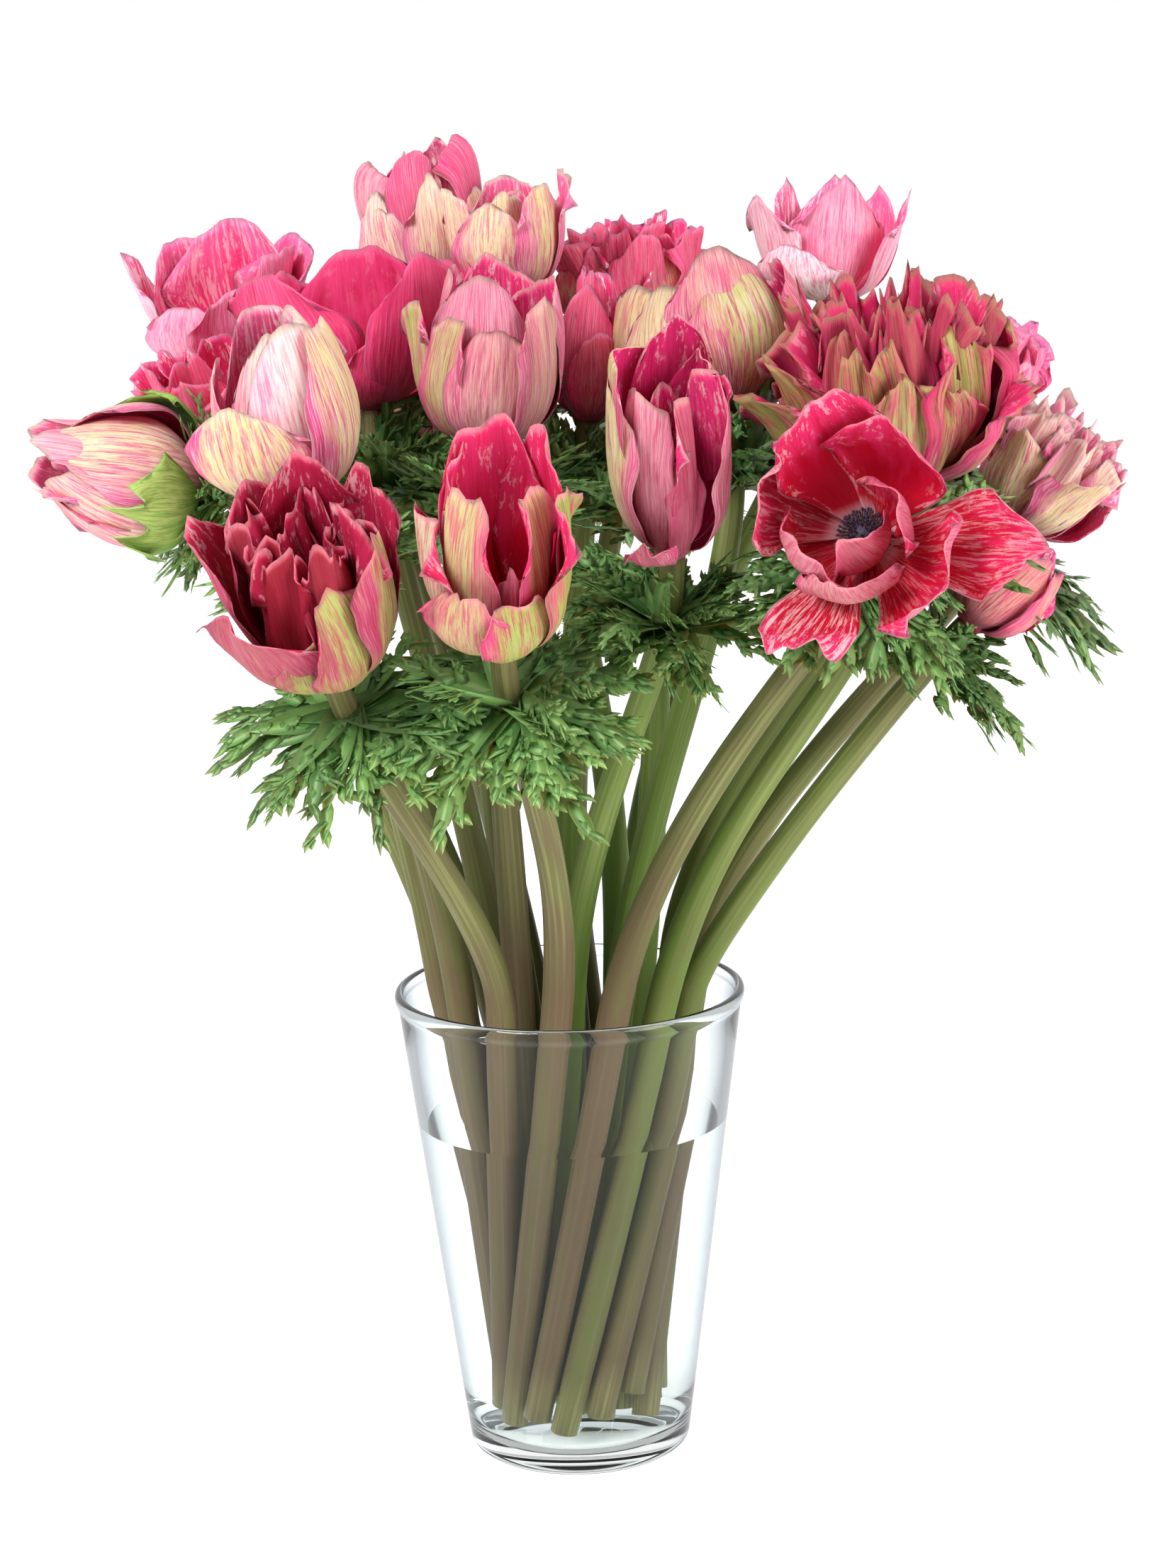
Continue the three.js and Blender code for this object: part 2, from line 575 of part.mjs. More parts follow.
// One bract as a closed lobed blade whose two faces share their rim. A fat copy keeps a gap round it.
function bractSolid(bract, fat) {
  const grow = fat ? BRACT.clearance : 1;
  const thickness = BRACT.thickness + (fat ? 2 * GAP : 0);
  const otherSide = BRACT_SIDE.map(([x, y]) => [-x, y]).reverse();
  const outline = [BRACT_ROOT, ...BRACT_SIDE, BRACT_TIP, ...otherSide];
  const points = outline.map(([x, y]) => bractPoint(bract, x * grow, y * grow));
  const ribs = BRACT_RIB.map(([x, y]) => {
    const middle = bractPoint(bract, x, y);
    const acrossStep = bractPoint(bract, x + SLOPE_STEP, y).sub(middle);
    const alongStep = bractPoint(bract, x, y + SLOPE_STEP).sub(middle);
    return { middle, normal: acrossStep.cross(alongStep).normalize().multiplyScalar(thickness / 2) };
  });
  const count = outline.length;
  for (const rib of ribs) points.push(rib.middle.clone().add(rib.normal));
  for (const rib of ribs) points.push(rib.middle.clone().sub(rib.normal));
  const firstNotch = 2;
  const triangles = [];
  const face = (low, high, outside) => {
    const add = (p, q, r) => triangles.push(outside ? [p, q, r] : [p, r, q]);
    for (let k = 0; k < count; k += 1) {
      const next = (k + 1) % count;
      const isLow = k < firstNotch || k >= count - firstNotch;
      add(k, next, isLow ? low : high);
    }
    add(low, firstNotch, high);
    add(low, high, count - firstNotch);
  };
  face(count, count + 1, true);
  face(count + 2, count + 3, false);
  return solidFrom(points, triangles);
}

function apart(one, other) {
  const reachesPast = [0, 1, 2].some((axis) => (
    one.box.min[axis] > other.box.max[axis] || other.box.min[axis] > one.box.max[axis]));
  return reachesPast || one.solid.intersect(other.solid).volume() < NO_VOLUME;
}

function boxed(solid, owner) {
  return { solid, owner, box: solid.boundingBox() };
}

// The bracts of a flower's collar, each bent clear of everything that already stands near it.
function collarSolids(flower, obstacles) {
  const axes = collarAxes(flower);
  const draws = new Draws(Number(flower.id) + 50);
  const turn = draws.between(0, 2 * Math.PI);
  const solids = [];
  for (let k = 0; k < BRACT.count; k += 1) {
    const azimuth = turn + (2 * Math.PI * k) / BRACT.count;
    for (const [round, rise, share] of BENDS) {
      const bract = {
        axes,
        azimuth: azimuth + THREE.MathUtils.degToRad(round),
        lift: THREE.MathUtils.degToRad(flower.lift + rise),
        reach: flower.reach * share,
        droop: flower.droop,
      };
      const fat = boxed(bractSolid(bract, true), flower);
      if (obstacles.every((obstacle) => obstacle.owner === flower || apart(obstacle, fat))) {
        solids.push(bractSolid(bract, false));
        break;
      }
    }
  }
  return solids;
}

const materials = {};
for (const [name, color] of Object.entries(COLOURS)) {
  const isClear = name === 'glass' || name === 'water';
  materials[name] = new THREE.MeshStandardMaterial({ color, roughness: isClear ? 0.05 : 0.6, metalness: 0 });
}

assignPlaces();
for (const flower of FLOWERS) {
  setHeadAxes(flower);
  flower.curve = stemCurve(flower);
}

const bouquet = new THREE.Group();
bouquet.name = 'bouquet';
bouquet.add(meshFrom('vase', makeVaseSolid(), materials.glass));
const stemHoles = FLOWERS.map((flower) => stemTube(flower, GAP));
bouquet.add(meshFrom('water', makeWaterSolid(stemHoles), materials.water));
const blooms = new Map(FLOWERS.map((flower) => [flower, bloomSolid(flower)]));
const obstacles = FLOWERS.flatMap((flower) => [
  boxed(stemTube(flower, 0), flower),
  boxed(blooms.get(flower), null),
]);
for (const flower of FLOWERS) {
  const bracts = collarSolids(flower, obstacles);
  obstacles.push(...bracts.map((bract) => boxed(bract, flower)));
  const stem = mainBody(joined([stemTube(flower, 0), ...bracts]));
  bouquet.add(meshFrom(`stem_${flower.id}`, stem, materials.stem));
  bouquet.add(meshFrom(`bloom_${flower.id}`, blooms.get(flower), materials[flower.tint]));
  if (OPEN_KINDS.includes(flower.kind)) {
    bouquet.add(meshFrom(`eye_${flower.id}`, eyeSolid(flower), materials.eye));
  }
}

export default bouquet;
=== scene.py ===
# %% [markdown]
# A bouquet of anemones in a clear, tapered glass vase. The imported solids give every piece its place:
# this lesson dresses them. Each head gets thin ruffled petals, each stem its finely cut collar of
# leaves, and the vase and its water become real glass and water. Lengths are in millimetres until a
# mesh is made, because flowers are easier to think about that way, and then in metres.

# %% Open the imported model
import json
import math

import bpy
import numpy as np
from mathutils import Matrix, Vector


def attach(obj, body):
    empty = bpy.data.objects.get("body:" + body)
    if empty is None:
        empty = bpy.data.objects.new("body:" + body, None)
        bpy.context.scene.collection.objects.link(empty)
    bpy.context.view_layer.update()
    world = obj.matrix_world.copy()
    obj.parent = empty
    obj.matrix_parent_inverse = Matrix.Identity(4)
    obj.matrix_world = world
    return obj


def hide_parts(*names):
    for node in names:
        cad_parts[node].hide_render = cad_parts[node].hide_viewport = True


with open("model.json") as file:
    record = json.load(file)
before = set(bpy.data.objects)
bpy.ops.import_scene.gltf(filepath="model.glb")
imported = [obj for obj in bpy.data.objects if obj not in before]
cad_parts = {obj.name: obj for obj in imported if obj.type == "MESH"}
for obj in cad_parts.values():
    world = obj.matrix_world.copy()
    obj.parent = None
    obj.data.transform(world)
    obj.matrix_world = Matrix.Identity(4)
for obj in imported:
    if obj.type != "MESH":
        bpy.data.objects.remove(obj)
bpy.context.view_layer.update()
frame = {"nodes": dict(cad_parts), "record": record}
MM = 0.001
print("nodes in the frame:", len(frame["nodes"]))


def place_object(name, data):
    """A new object of the scene that shows this data."""
    placed = bpy.data.objects.new(name, data)
    bpy.context.scene.collection.objects.link(placed)
    return placed


# %% [markdown]
# The photograph looks slightly down at the bouquet from about a metre away. The camera comes first,
# so that every later choice is judged from the right place. The lens was found by matching the two
# ellipses of the vase, its rim and its foot, which only one distance and tilt can give together.

# %% Camera
EYE_PLACE = (8, -1130, 462)
LOOK_DOWN = math.radians(11.4)
CAMERA_ROLL = math.radians(-1.37)
LENS = 78.1

camera_data = bpy.data.cameras.new("camera")
camera_data.lens = LENS
camera = place_object("camera", camera_data)
tilt = Matrix.Rotation(math.radians(90) - LOOK_DOWN, 4, "X")
roll = Matrix.Rotation(CAMERA_ROLL, 4, "Z")
camera.matrix_world = Matrix.Translation(Vector(EYE_PLACE) * MM) @ tilt @ roll
bpy.context.scene.camera = camera
print("camera at", EYE_PLACE, "mm")

# %% [markdown]
# No two petals are alike, yet the bouquet has to come out the same on every run. Python's own chance
# could be seeded for that, but a generator of four lines gives the same numbers in every version.
# Each flower draws from its own number, and each of its pieces adds a number of its own to that.

# %% A repeatable source of chance
FULL_TURN = 2 * math.pi


class Draws:
    """The same numbers each time, so that each petal keeps its place from run to run."""

    FACTOR = 16807
    LARGEST = 2147483647

    def __init__(self, seed):
        self.state = seed * 7919 + 101
        self.next()

    def next(self):
        self.state = self.state * self.FACTOR % self.LARGEST
        return self.state / self.LARGEST

    def between(self, low, high):
        return low + (high - low) * self.next()

    def angle(self):
        return self.between(0, FULL_TURN)


# %% [markdown]
# A dye is written as the six-digit code that a screen uses for it. A shader wants linear light, so
# this helper turns one into the other.

# %% Colours
def colour(code):
    def linear(value):
        share = value / 255
        return share / 12.92 if share <= 0.04045 else ((share + 0.055) / 1.055) ** 2.4

    return (*map(linear, bytes.fromhex(code)), 1.0)


# %% [markdown]
# Shader nodes are wired in code. A small class keeps that short: each call places one node and gives
# back its output, so that a pattern reads like a sum.

# %% Wiring shader nodes
class Wiring:
    def __init__(self, tree):
        self.tree = tree

    def add(self, kind, **settings):
        node = self.tree.nodes.new(kind)
        for key, value in settings.items():
            setattr(node, key, value)
        return node

    def feed(self, socket, value):
        if isinstance(value, bpy.types.NodeSocket):
            self.tree.links.new(value, socket)
        else:
            socket.default_value = value

    def filled(self, kind, values, **settings):
        """The outputs of a new node with these values in its inputs."""
        node = self.add(kind, **settings)
        for place, value in values.items():
            self.feed(node.inputs[place], value)
        return node.outputs

    def math(self, operation, first, second=0.0, clamp=False):
        values = {0: first, 1: second}
        return self.filled("ShaderNodeMath", values, operation=operation, use_clamp=clamp)[0]

    def plus(self, first, second, clamp=False):
        return self.math("ADD", first, second, clamp)

    def times(self, first, second, clamp=False):
        return self.math("MULTIPLY", first, second, clamp)

    def swing(self, pattern, strength):
        """A pattern from 0 to 1 as a push to either side."""
        return self.times(self.math("SUBTRACT", pattern, 0.5), strength)

    def step(self, value, low, high, start=0.0, end=1.0):
        """A soft step: start below low, end above high."""
        values = dict(enumerate((value, low, high, start, end)))
        return self.filled("ShaderNodeMapRange", values, interpolation_type="SMOOTHSTEP")[0]

    def mix(self, share, first, second):
        return self.filled("ShaderNodeMix", {0: share, 6: first, 7: second}, data_type="RGBA")[2]

    def attribute(self, name, output="Fac"):
        return self.add("ShaderNodeAttribute", attribute_name=name).outputs[output]

    def split(self, vector):
        return self.filled("ShaderNodeSeparateXYZ", {0: vector})

    def noise(self, place, scale, detail, roughness=0.55):
        values = {"Vector": place, "Scale": scale, "Detail": detail, "Roughness": roughness}
        return self.filled("ShaderNodeTexNoise", values)["Fac"]

    def fibres(self, chance, cells_across, cells_along, detail, roughness=0.6, scale=1.0):
        """Noise stretched along a blade or a stem, so that it runs out like a fan from the root."""
        across = self.times(self.attribute("across"), cells_across)
        along = self.times(self.attribute("along"), cells_along)
        place = self.filled("ShaderNodeCombineXYZ", {0: across, 1: along, 2: chance})[0]
        return self.noise(place, scale, detail, roughness)


# %% [markdown]
# A skin is a shader group: dyes and marks go in, and a colour and a relief come out. It is built once
# and worn by every material that needs it, each with dyes of its own. The shader itself, and all
# that is the same over the whole surface, such as gloss and sheen, stays in the material.

# %% Skins and materials
COLOUR_SOCKET = "NodeSocketColor"
VALUE_SOCKET = "NodeSocketFloat"


def new_skin(name, dyes, marks=()):
    """An empty skin, the wiring to fill it, and its way in and out."""
    group = bpy.data.node_groups.new(name, "ShaderNodeTree")
    inputs = {**dict.fromkeys(dyes, COLOUR_SOCKET), **dict.fromkeys(marks, VALUE_SOCKET)}
    outputs = {"Colour": COLOUR_SOCKET, "Relief": VALUE_SOCKET}
    for direction, sockets in (("INPUT", inputs), ("OUTPUT", outputs)):
        for label, kind in sockets.items():
            group.interface.new_socket(label, in_out=direction, socket_type=kind)
    wiring = Wiring(group)
    return group, wiring, wiring.add("NodeGroupInput").outputs, wiring.add("NodeGroupOutput").inputs


def new_material(name, roughness, **shine):
    """A material with one Principled shader, its plain values set on the shader's own sockets."""
    material = bpy.data.materials.new(name)
    material.use_nodes = True
    shader = material.node_tree.nodes["Principled BSDF"]
    for label, value in {"Roughness": roughness, **shine}.items():
        shader.inputs[label.replace("_", " ")].default_value = value
    return material, Wiring(material.node_tree), shader.inputs


def skinned_material(name, skin, dyes, roughness, strength, depth, **shine):
    """A material that wears a skin. strength and depth are those of its bump."""
    material, wiring, shader = new_material(name, roughness, **shine)
    worn = wiring.add("ShaderNodeGroup", node_tree=skin)
    for label, dye in dyes.items():
        worn.inputs[label].default_value = colour(dye) if isinstance(dye, str) else dye
    values = {"Strength": strength, "Distance": depth, "Height": worn.outputs["Relief"]}
    wiring.feed(shader["Base Color"], worn.outputs["Colour"])
    wiring.feed(shader["Normal"], wiring.filled("ShaderNodeBump", values)["Normal"])
    return material


# %% [markdown]
# The picture is high key: white behind and white below, with soft light from the front. In such a
# studio the white sheet hangs behind the flowers and the room on the camera's side is darker. The sky
# copies that, because glass mirrors the dark side and so stays clear instead of milky. Steeply below
# it is bright again, for what the foot of the glass mirrors. Two large soft lamps in front give the
# petals their shape, and a plain view transform keeps the pinks bright.

# %% Light
WHITE = (1, 1, 1, 1)
FRONT_SKY = 0.3
BACK_SKY = 1.0
FRONT_TO_BACK = (-0.7, 0.5)
BELOW_TO_LEVEL = (-0.8, -0.55)

sky = bpy.data.worlds.new("white studio")
bpy.context.scene.world = sky
sky.use_nodes = True
wire = Wiring(sky.node_tree)
_, backwards, upwards = wire.split(wire.add("ShaderNodeTexCoord").outputs["Generated"])
brightness = wire.step(backwards, *FRONT_TO_BACK, FRONT_SKY, BACK_SKY)
brightness = wire.math("MAXIMUM", brightness, wire.step(upwards, *BELOW_TO_LEVEL, BACK_SKY, 0.0))
seen_directly = wire.add("ShaderNodeLightPath").outputs["Is Camera Ray"]
background = sky.node_tree.nodes["Background"].inputs
wire.feed(background["Color"], WHITE)
wire.feed(background["Strength"], wire.math("MAXIMUM", brightness, seen_directly))
bpy.context.scene.view_settings.view_transform = "Standard"

BOUQUET_MIDDLE = (0, 0, 0.3)


def soft_lamp(name, place, size, power):
    """A round lamp, in metres, that looks at the bouquet."""
    light = bpy.data.lights.new(name, "AREA")
    light.shape = "DISK"
    light.size = size
    light.energy = power
    lamp = place_object(name, light)
    lamp.location = place
    lamp.rotation_euler = (Vector(BOUQUET_MIDDLE) - Vector(place)).to_track_quat("-Z", "Y").to_euler()


soft_lamp("key", (-0.9, -1.1, 1.3), size=0.8, power=26)
soft_lamp("fill", (1.2, -0.9, 0.7), size=1.0, power=15)

# %% [markdown]
# A petal of these anemones is two colours at once. Outside it is dusky pink with a cream or green
# heart and fine veins that run like the ribs of a fan. Inside it is crimson velvet, mottled white near
# the edge. A paper-thin cream line runs round the rim. All of that hangs on where a point lies on its
# petal, so each petal carries that in its mesh: across, along, the face, and the petal's own tones.

# %% The skin of a petal
DYES = ("Pink", "Cream", "Lime", "Foot", "Vein", "Deep", "Bright", "Rim")
MARKS = ("Mottling", "Streaks", "Eye ring")
WHITE_BLOOM = colour("fce2e6")

petal_skin, wire, entry, leave = new_skin("petal skin", DYES, MARKS)
cream_share, pale_share, chance = wire.split(wire.attribute("tone", "Vector"))
lime_share, dark_share, _ = wire.split(wire.attribute("dye", "Vector"))
along = wire.attribute("along")
sideways = wire.math("ABSOLUTE", wire.attribute("across"))
to_the_edge = wire.math("MAXIMUM", sideways, along)
broad = wire.fibres(chance, 3.0, 1.6, 3.0)
streaks = wire.fibres(chance, 18.0, 4.2, 5.0, 0.72)
veins = wire.fibres(chance, 44.0, 3.4, 4.0, 0.65)
light_veins = wire.fibres(chance, 56.0, 4.5, 3.0)
spots = wire.fibres(chance, 8.0, 9.0, 4.0, 0.7)
wrinkles = wire.fibres(chance, 7.0, 2.6, 2.0)
wobble = wire.swing(broad, 1.6)

# The outer face: cream or lime in the heart, pink at the margins, mauve at the foot.
heart = wire.step(wire.plus(sideways, wobble), 0.2, 0.95, 1.0, 0.0)
heart = wire.times(heart, wire.step(streaks, 0.4, 0.55, 0.25, 1.0))
heart = wire.times(heart, wire.times(cream_share, 1.2), True)
outside = wire.mix(heart, entry["Pink"], wire.mix(lime_share, entry["Cream"], entry["Lime"]))
foot = wire.step(wire.plus(along, wire.times(streaks, 0.7)), 0.45, 0.95, 0.85, 0.0)
outside = wire.mix(foot, outside, entry["Foot"])
outside = wire.mix(wire.step(veins, 0.5, 0.62, 0.0, 0.66), outside, entry["Vein"])
light_mask = wire.times(wire.step(light_veins, 0.5, 0.62), entry["Streaks"], True)
outside = wire.mix(light_mask, outside, WHITE_BLOOM)
pale_mask = wire.times(pale_share, wire.step(streaks, 0.36, 0.62, 0.2, 1.0), True)
outside = wire.mix(pale_mask, outside, WHITE_BLOOM)
outside = wire.mix(wire.times(dark_share, 0.8, True), outside, entry["Deep"])

# The inner face: velvet that brightens outwards, mottled white near the edge.
inside = wire.mix(wire.step(wire.plus(along, wobble), 0.35, 1.0), entry["Deep"], entry["Bright"])
inside = wire.mix(wire.step(veins, 0.5, 0.64, 0.0, 0.4), inside, entry["Deep"])
mottle = wire.times(wire.step(to_the_edge, 0.55, 0.95), wire.step(spots, 0.54, 0.62), True)
inside = wire.mix(wire.times(mottle, entry["Mottling"], True), inside, WHITE_BLOOM)
pale_inside = wire.times(pale_share, wire.step(streaks, 0.5, 0.58, 0.0, 0.9), True)
inside = wire.mix(pale_inside, inside, WHITE_BLOOM)
ring = wire.times(wire.step(along, 0.08, 0.14, 1.0, 0.0), entry["Eye ring"])
inside = wire.mix(ring, inside, WHITE_BLOOM)

rim_line = wire.step(wire.plus(to_the_edge, wire.times(wobble, 0.02)), 0.96, 0.995, 0.0, 0.65)
both_faces = wire.mix(wire.attribute("inner"), outside, inside)
wire.feed(leave["Colour"], wire.mix(rim_line, both_faces, entry["Rim"]))
relief = wire.plus(wire.times(veins, 0.4), wire.times(streaks, 0.6))
wire.feed(leave["Relief"], wire.plus(relief, wire.times(wrinkles, 1.6)))
print("nodes in the petals' skin:", len(petal_skin.nodes))

# %% [markdown]
# Every head shares that skin with its own dyes. The palettes are named for how the heads look: some
# are bright pink, some dusky, some blush with cream, and the open ones show their crimson inside. The
# bract, a ring of small leaves that one bud still wears, takes the same skin in greens. A petal is so
# thin that light glows through it, which a little subsurface scattering gives.

# %% Petal materials
# the codes of the eight dyes in their order, then the three marks
PALETTES = {
    "pink": ("f65e9a f8a8c2 e8d6a8 e2427a d81e64 e83472 fa6ea8 f696b6", 0.5, 0.35),
    "coral": ("e63c76 f26496 dea082 a62448 be1850 c4144e ec4480 ee7896", 0.1, 0.1),
    "magenta": ("ee3678 e09680 beb060 b02c54 a4083a d00e4c f64084 f48ab0", 0.9, 0.2),
    "blush": ("e2548e f4deb0 cecc76 b84e7a c42e62 d82864 f0689c f2ceba", 0.6, 0.45),
    "dusky": ("d4527e d8c28c a4b254 ae526c a02a54 ac0842 e03076 e6a8a0", 0.5, 0.3),
    "crimson": ("ce4270 ccbe7e 96ac4c a4a858 a82448 be082c de2e68 f496a0", 0.35, 0.1, 0.4),
    "bronze": ("d43c70 cea278 98a64c 923458 88083a a01242 dc326c bc8660", 0.2, 0.05),
    "ruby": ("b63e62 ccbe7e 96ac4c a4a858 a82448 980c26 ba224c ec8490", 0.35, 0.1, 0.4),
}
BRACT_DYES = "96ba58 c0d27a b0c868 709842 6e943c 5a823c 96ba58 c6d48e"
GLOW_DEPTH = 0.0015
PINK_GLOW = (1.0, 0.5, 0.75)


def petal_material(name, codes, mottling=0.0, streaks=0.0, eye_ring=0.0):
    dyes = dict(zip(DYES + MARKS, [*codes.split(), mottling, streaks, eye_ring]))
    return skinned_material(
        f"{name} petals", petal_skin, dyes, 0.55, strength=0.5, depth=0.0009, Specular_IOR_Level=0.18,
        Subsurface_Weight=0.15, Subsurface_Scale=GLOW_DEPTH, Subsurface_Radius=PINK_GLOW,
    )


petal_materials = {name: petal_material(name, *facts) for name, facts in PALETTES.items()}
bract_material = petal_material("bract", BRACT_DYES)
print("petal materials:", ", ".join(petal_materials))

# %% [markdown]
# Stems are thick, downy and olive green. They are browner near the head and low in the vase, and pale where
# they were cut. Towards the floor they are darker with painted shade, the shade that the crowded stems cast
# on each other in the water. A photographed texture could show that, but a pattern that follows the mesh
# needs no picture and never repeats: long ribs, and blotches over them.

# %% Stem material
stem_skin, wire, entry, leave = new_skin("stem skin", ("Green", "Brown", "Light", "Painted shade"))
brown_share, light_share, chance = wire.split(wire.attribute("tone", "Vector"))
ribs = wire.fibres(chance, 14.0, 3.0, 4.0, 0.55)
blotches = wire.fibres(chance, 2.0, 9.0, 3.0, 0.55)
browning = wire.plus(brown_share, wire.swing(blotches, 1.1))
browning = wire.plus(browning, wire.swing(ribs, 0.9), True)
base = wire.mix(browning, entry["Green"], entry["Brown"])
# Painted shade: the stems darken towards their cut ends, low in the crowded vase.
base = wire.mix(wire.step(wire.attribute("along"), 0.12, 0.27, 0.4, 0.0), base, entry["Painted shade"])
light_mask = wire.times(light_share, wire.step(ribs, 0.4, 0.7, 0.3, 1.0), True)
wire.feed(leave["Colour"], wire.mix(light_mask, base, entry["Light"]))
wire.feed(leave["Relief"], ribs)

# the fourth dye is the painted shade of the low stems
STEM_DYES = {"Green": "5e7c2a", "Brown": "624a38", "Light": "a0a868", "Painted shade": "3c2814"}
stem_material = skinned_material(
    "stem", stem_skin, STEM_DYES, 0.5, strength=0.3, depth=0.0005,
    Specular_IOR_Level=0.25, Sheen_Weight=0.15, Sheen_Roughness=0.3,
)

# %% [markdown]
# Leaves are a fresh mid green with pale ribs, and no two leaves are equally fresh. They are glossier
# than petals and a little light comes through them too.

# %% Leaf material
leaf_skin, wire, entry, leave = new_skin("leaf skin", ("Deep", "Fresh", "Rib"))
fresh_share, rib_share, chance = wire.split(wire.attribute("tone", "Vector"))
patches = wire.fibres(chance, 1.0, 2.0, 3.0, 0.55, scale=1.7)
freshness = wire.plus(fresh_share, wire.swing(patches, 0.9), True)
blade = wire.mix(freshness, entry["Deep"], entry["Fresh"])
rib = wire.step(wire.math("ABSOLUTE", wire.attribute("across")), 0.05, 0.35, 0.55, 0.0)
wire.feed(leave["Colour"], wire.mix(wire.times(rib, rib_share), blade, entry["Rib"]))
wire.feed(leave["Relief"], wire.plus(rib, patches))

LEAF_DYES = {"Deep": "3c6a36", "Fresh": "84b462", "Rib": "bad696"}
leaf_material = skinned_material(
    "leaf", leaf_skin, LEAF_DYES, 0.42, strength=0.3, depth=0.0004,
    Specular_IOR_Level=0.4, Subsurface_Weight=0.2, Subsurface_Scale=GLOW_DEPTH,
)

# %% [markdown]
# Glass and water are clear, so their look is all in their outline and in how they bend light. The
# shader's own transmission does that. Only where the glass is seen edge on does it turn a greyish
# blue, which draws the outline of the vase on white. The water bends light less than real water
# does: with 1.33 the stems swell and the surface is a hard line, which the picture doesn't show.

# %% Glass and water
GLASS_FACE = colour("fafefe")
GLASS_EDGE = colour("a6b6c8")
GLASS_BENDING = 1.47
WATER_TINT = colour("fcfefd")
WATER_BENDING = 1.1

water_material, _, shader = new_material("still water", 0.0, Transmission_Weight=1.0, IOR=WATER_BENDING)
shader["Base Color"].default_value = WATER_TINT
glass_material, wiring, shader = new_material("clear glass", 0.0, Transmission_Weight=1.0, IOR=GLASS_BENDING)
edge_on = wiring.step(wiring.add("ShaderNodeLayerWeight").outputs["Facing"], 0.45, 0.95)
wiring.feed(shader["Base Color"], wiring.mix(edge_on, GLASS_FACE, GLASS_EDGE))

# %% [markdown]
# Flowers are built point by point. Sculpting would look as good, but only numbers can be changed
# petal by petal later. A shape collects the points and faces of all blades of one piece, with the
# numbers that the skins read, and becomes one mesh at the end. A blade is a closed sheet: an outer
# and an inner face that meet at a thin rim, as on a real petal.

# %% Collecting blades into a mesh
def cap(ring):
    """Four-sided faces that close a ring of points."""
    last = len(ring) - 1
    return np.array([[ring[k], ring[k + 1], ring[last - 1 - k], ring[last - k]] for k in range(last // 2)])


class Shape:
    def __init__(self):
        self.points = []
        self.faces = []
        self.total = 0
        self.numbers = {"across": [], "along": [], "tone": [], "dye": [], "inner": []}

    def add_points(self, points, across, along, tone, dye=(0, 0, 0)):
        """Keeps the points and gives back the number of the first."""
        first = self.total
        count = len(points)
        self.total += count
        self.points.append(points)
        for label, value in (("across", across), ("along", along)):
            self.numbers[label].append(np.broadcast_to(value, count))
        for label, value in (("tone", tone), ("dye", dye)):
            self.numbers[label].append(np.broadcast_to(np.array(value, float), (count, 3)))
        return first

    def add_faces(self, corners, inner=0.0):
        """corners are the four corners of each face, as four grids of point numbers."""
        faces = np.stack(corners, -1).reshape(-1, 4)
        self.faces.append(faces)
        self.numbers["inner"].append(np.full(len(faces), inner))

    def add_blade(self, middle, thickness, across, along, tone, dye):
        """middle is a grid of points (columns, rows, 3) that becomes a thin closed sheet."""
        normal = np.cross(np.gradient(middle, axis=0), np.gradient(middle, axis=1))
        normal /= np.linalg.norm(normal, axis=2, keepdims=True) + 1e-9
        inside = np.zeros(middle.shape[:2], bool)
        inside[1:-1, 1:-1] = True
        lift = np.where(inside, thickness / 2, 0.0)[..., None] * normal
        first = self.add_points((middle + lift).reshape(-1, 3), across.ravel(), along.ravel(), tone, dye)
        outer = first + np.arange(inside.size).reshape(inside.shape)
        first = self.add_points((middle - lift)[inside], across[inside], along[inside], tone, dye)
        inner = outer.copy()
        inner[inside] = first + np.arange(inside.sum())
        for grid, order, face in ((outer, 1, 0.0), (inner, -1, 1.0)):
            corners = [grid[:-1, :-1], grid[1:, :-1], grid[1:, 1:], grid[:-1, 1:]]
            self.add_faces(corners[::order], face)

    def add_tube(self, rings, across=0.0, along=0.0, tone=(0, 0, 0)):
        """rings is (rings, sides, 3), closed at both ends. A ring may shrink to a point."""
        size = rings.shape[:2]
        across, along = (np.broadcast_to(value, size).ravel() for value in (across, along))
        first = self.add_points(rings.reshape(-1, 3), across, along, tone)
        grid = first + np.arange(len(across)).reshape(size)
        turned = np.roll(grid, -1, axis=1)
        self.add_faces([grid[:-1], turned[:-1], turned[1:], grid[1:]])
        self.add_faces(cap(grid[0]).T[::-1])
        self.add_faces(cap(grid[-1]).T)

    def make(self, name, material):
        mesh = bpy.data.meshes.new(name)
        faces = np.concatenate(self.faces)
        mesh.from_pydata(np.concatenate(self.points) * MM, [], faces)
        mesh.polygons.foreach_set("use_smooth", np.ones(len(faces), bool))
        for label, parts in self.numbers.items():
            values = np.concatenate(parts).astype(np.float32)
            kind, slot = ("FLOAT", "value") if values.ndim == 1 else ("FLOAT_VECTOR", "vector")
            layer = mesh.attributes.new(label, kind, "FACE" if label == "inner" else "POINT")
            layer.data.foreach_set(slot, values.ravel())
        mesh.validate()
        mesh.materials.append(material)
        return place_object(name, mesh)


def hand_over(piece, slot, *nodes):
    """The piece moves with the vase and stands for these nodes."""
    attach(piece, "root")
    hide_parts(*nodes)


# %% [markdown]
# Where each flower stands is repeated here from the solids' source: where its head starts, where the
# head's tip is, how wide it is, which ring of stems it belongs to and how high its cut end is. From
# these the stems find their way by the same rule as the solids, so that both stay together. The last
# numbers place the collar of leaves: how far below the head, its reach, its rise and its droop.

